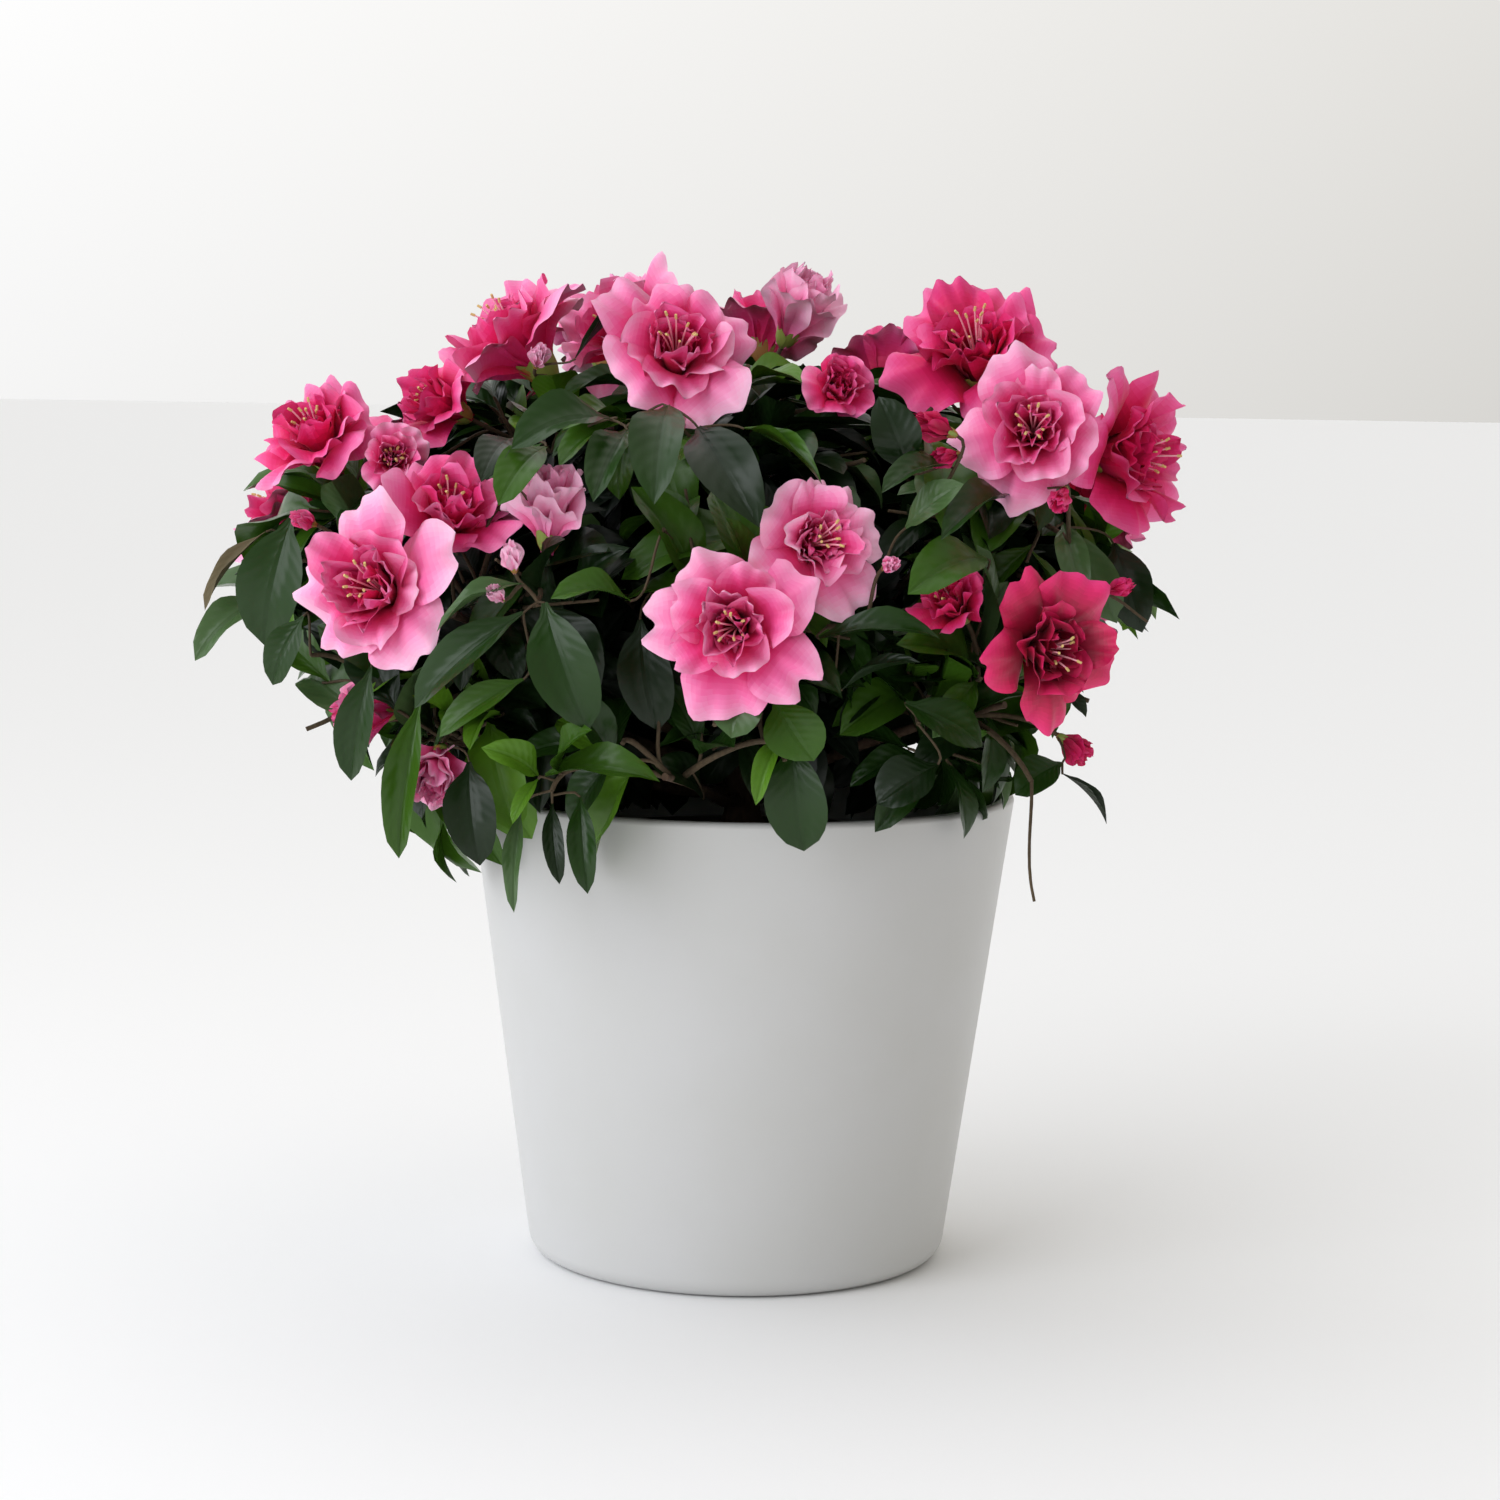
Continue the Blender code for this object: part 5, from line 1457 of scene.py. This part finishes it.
def leaf_fits(samples, mass, local, taken):
    if leaf_room(samples).max() > 1 or not local.off_pot(samples):
        return False
    outer = samples[6:]
    if hides_a_bloom(outer) or hides_a_front_leaf(outer):
        return False
    if len(taken) and np.linalg.norm(outer[:, None] - taken[None], axis=2).min() < LEAF_APART:
        return False
    return local.in_own_space(samples, mass, OVERLAP) and local.off_limbs(samples, "", LIMB_MARGIN)


def whorl(mass, limb, wanted, first, spread_between, tones, label, taken):
    """The leaves of one shoot or side twig. Returns the points taken, its own among them."""
    rng = random.Random(f"{label} leaves")
    turn = rng.uniform(0, math.tau)
    local = space.near(limb.points[-1], ROOM_AROUND)
    beside = taken[((taken - np.array(limb.points[-1])) ** 2).sum(1) < TAKEN_AROUND**2]
    spray = rng.choice(tones)
    for i in range(LEAF_TRIES):
        if not wanted:
            break
        root, along, _ = limb.at(max(0.1, 1 - (first + i * LEAF_STEP) / limb.length()))
        across, _ = flower_frame(along, turn + i * GOLDEN_ANGLE)
        spread = math.radians(rng.uniform(*spread_between))
        way = along * math.cos(spread) + across * math.sin(spread)
        way.z -= rng.uniform(*DROOPS)
        above = Vector((0, 0, 1)) * 0.7 + (root - CROWN_CENTRE).normalized() * 0.5
        axes = leaf_axes(way.normalized(), above)
        broad = LEAF_WIDTH * rng.uniform(*BREADTHS)
        for size in LEAF_SIZES:
            samples = blade_samples(root, axes, LEAF_LENGTH * size, broad * size)
            if leaf_fits(samples, mass, local, beside):
                outside = leaf_room(samples).max() > OUTSIDE
                put_leaf(root, axes, LEAF_LENGTH * size, broad * size, max(spray, int(outside)), rng)
                beside = np.concatenate([beside, samples[6:]])
                taken = np.concatenate([taken, samples[6:]])
                wanted -= 1
                break
    return taken


def side_twigs(mass, limb, label):
    """Finer twigs that leave a shoot on alternate sides, bending up and outwards."""
    rng = random.Random(f"{label} side twigs")
    turn = rng.uniform(0, math.tau)
    twigs = []
    for i in range(SIDE_TWIGS):
        root, along, radius = limb.at(0.30 + 0.22 * i)
        across, _ = flower_frame(along, turn + i * GOLDEN_ANGLE)
        reach = rng.uniform(*SIDE_TWIG_LENGTHS) * MM
        way = (along * 0.8 + across + Vector((0, 0, 0.25))).normalized()
        handles = (root, root + along * reach * 0.3, root + way * reach * 0.6, root + way * reach)
        twig = Limb(handles, (radius * 0.7, 0.5 * MM), 4, mass)
        points = np.array([tuple(p) for p in twig.points[1:]])
        inside = leaf_room(points).max() < SIDE_TWIG_REACH and space.off_pot(points)
        if inside and space.off_limbs(points, mass, LIMB_MARGIN):
            twigs.append(twig)
    return twigs


# places in the list of tones, each as often as it is dealt
OUTER_TONES = (1, 2, 2, 2, 3, 4, 4, 5)
# inner shoots are dealt the two near-black greens, painted shade for the crown's dark inside
INNER_TONES = (0, 0, 0, 1, 1)


def tones_at(place):
    return OUTER_TONES if leaf_room(np.array([tuple(place)]))[0] > OUTER_SHARE else INNER_TONES


taken = {name: np.empty((0, 3)) for name in HEARTS}
for mass, label, twig, flower in shoots:
    first, spread = (4 * MM, (62, 88)) if flower else (0, (25, 75))
    wanted = LEAVES_UNDER_FLOWER if flower else LEAVES_PER_SHOOT
    taken[mass] = whorl(mass, twig, wanted, first, spread, tones_at(twig.points[-1]), label, taken[mass])
for mass, label, twig, flower in shoots:
    for i, side in enumerate(side_twigs(mass, twig, label)):
        before, tones, name = len(grown["form"]), tones_at(side.points[-1]), f"{label} side {i}"
        taken[mass] = whorl(mass, side, LEAVES_PER_SIDE_TWIG, 0, (25, 80), tones, name, taken[mass])
        if len(grown["form"]) > before:
            twig_paths.append(side.drawn(8))
print(len(grown["form"]), "leaves on", len(twig_paths), "twigs")

# %% [markdown]
# ## Setting the leaves out
# Each leaf is now a point with a turn, a size, a form and a tone. A tree puts the chosen form on each
# point, makes the instances real and gives each tone its green.

# %% Leaves and twigs
def leaf_tree():
    """Puts a leaf form on each point, turned and sized by the point's attributes, in its tone's material."""
    inputs = {"Forms": "Collection", **{f"Tone {i}": "Material" for i in range(len(LEAF_TONES))}}
    tree, start, end = new_tree("leaves on their points", inputs)

    def kept(name, kind):
        return add(tree, "GeometryNodeInputNamedAttribute", {"data_type": kind, "Name": name})

    forms = add(tree, "GeometryNodeCollectionInfo", {
        "Collection": start.outputs["Forms"], "Separate Children": True, "Reset Children": True})
    turn = add(tree, "FunctionNodeEulerToRotation", {0: kept("turn", "FLOAT_VECTOR")})
    placed = add(tree, "GeometryNodeInstanceOnPoints", {
        "Points": start.outputs["Geometry"], "Instance": forms, "Pick Instance": True,
        "Instance Index": kept("form", "INT"), "Rotation": turn, "Scale": kept("size", "FLOAT_VECTOR")})
    last = add(tree, "GeometryNodeRealizeInstances", {0: placed})
    for i in range(len(LEAF_TONES)):
        chosen = add(tree, "FunctionNodeCompare", {"data_type": "INT", "operation": "EQUAL"})
        tree.links.new(kept("tone", "INT").outputs[0], chosen.inputs[2])
        chosen.inputs[3].default_value = i
        last = add(tree, "GeometryNodeSetMaterial", {
            "Geometry": last, "Selection": chosen, "Material": start.outputs[f"Tone {i}"]})
    tree.links.new(last.outputs[0], end.inputs["Geometry"])
    return tree


def points_mesh(name):
    mesh = bpy.data.meshes.new(name)
    mesh.from_pydata(grown["place"], [], [])
    for label, kind, field in (("turn", "FLOAT_VECTOR", "vector"), ("size", "FLOAT_VECTOR", "vector"),
                               ("form", "INT", "value"), ("tone", "INT", "value")):
        values = np.array(grown[label]).ravel()
        mesh.attributes.new(label, kind, "POINT").data.foreach_set(field, values)
    return mesh


setting = leaf_tree()
tone_inputs = {f"Tone {i}": material for i, material in enumerate(LEAF_TONES)}
leaves = grow("leaves", points_mesh("leaf_points"), setting, {"Forms": leaf_forms, **tone_inputs})
for form in list(leaf_forms.objects):
    bpy.data.objects.remove(form)
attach(leaves, "root")
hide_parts(*[f"foliage_{name}" for name in HEARTS])

young_bark = bark_of("young_azalea_bark", "#62523A", "#35291C", 1 * MM)
twig_values = {"Sides": 6, "Step": 2 * MM, "Relief": 0.2 * MM, "Grain": 1 * MM, "Material": young_bark}
twigs = grow("twigs", paths_mesh("twig_paths", twig_paths), limbs, twig_values)
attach(twigs, "root")

# %% [markdown]
# ## Sizes
# The frame's box is printed, from its lowest to its highest corner, in millimetres.

# %% Sizes and finish
print("frame ", [round(x / MM, 1) for x in (*cad_low, *cad_high)])
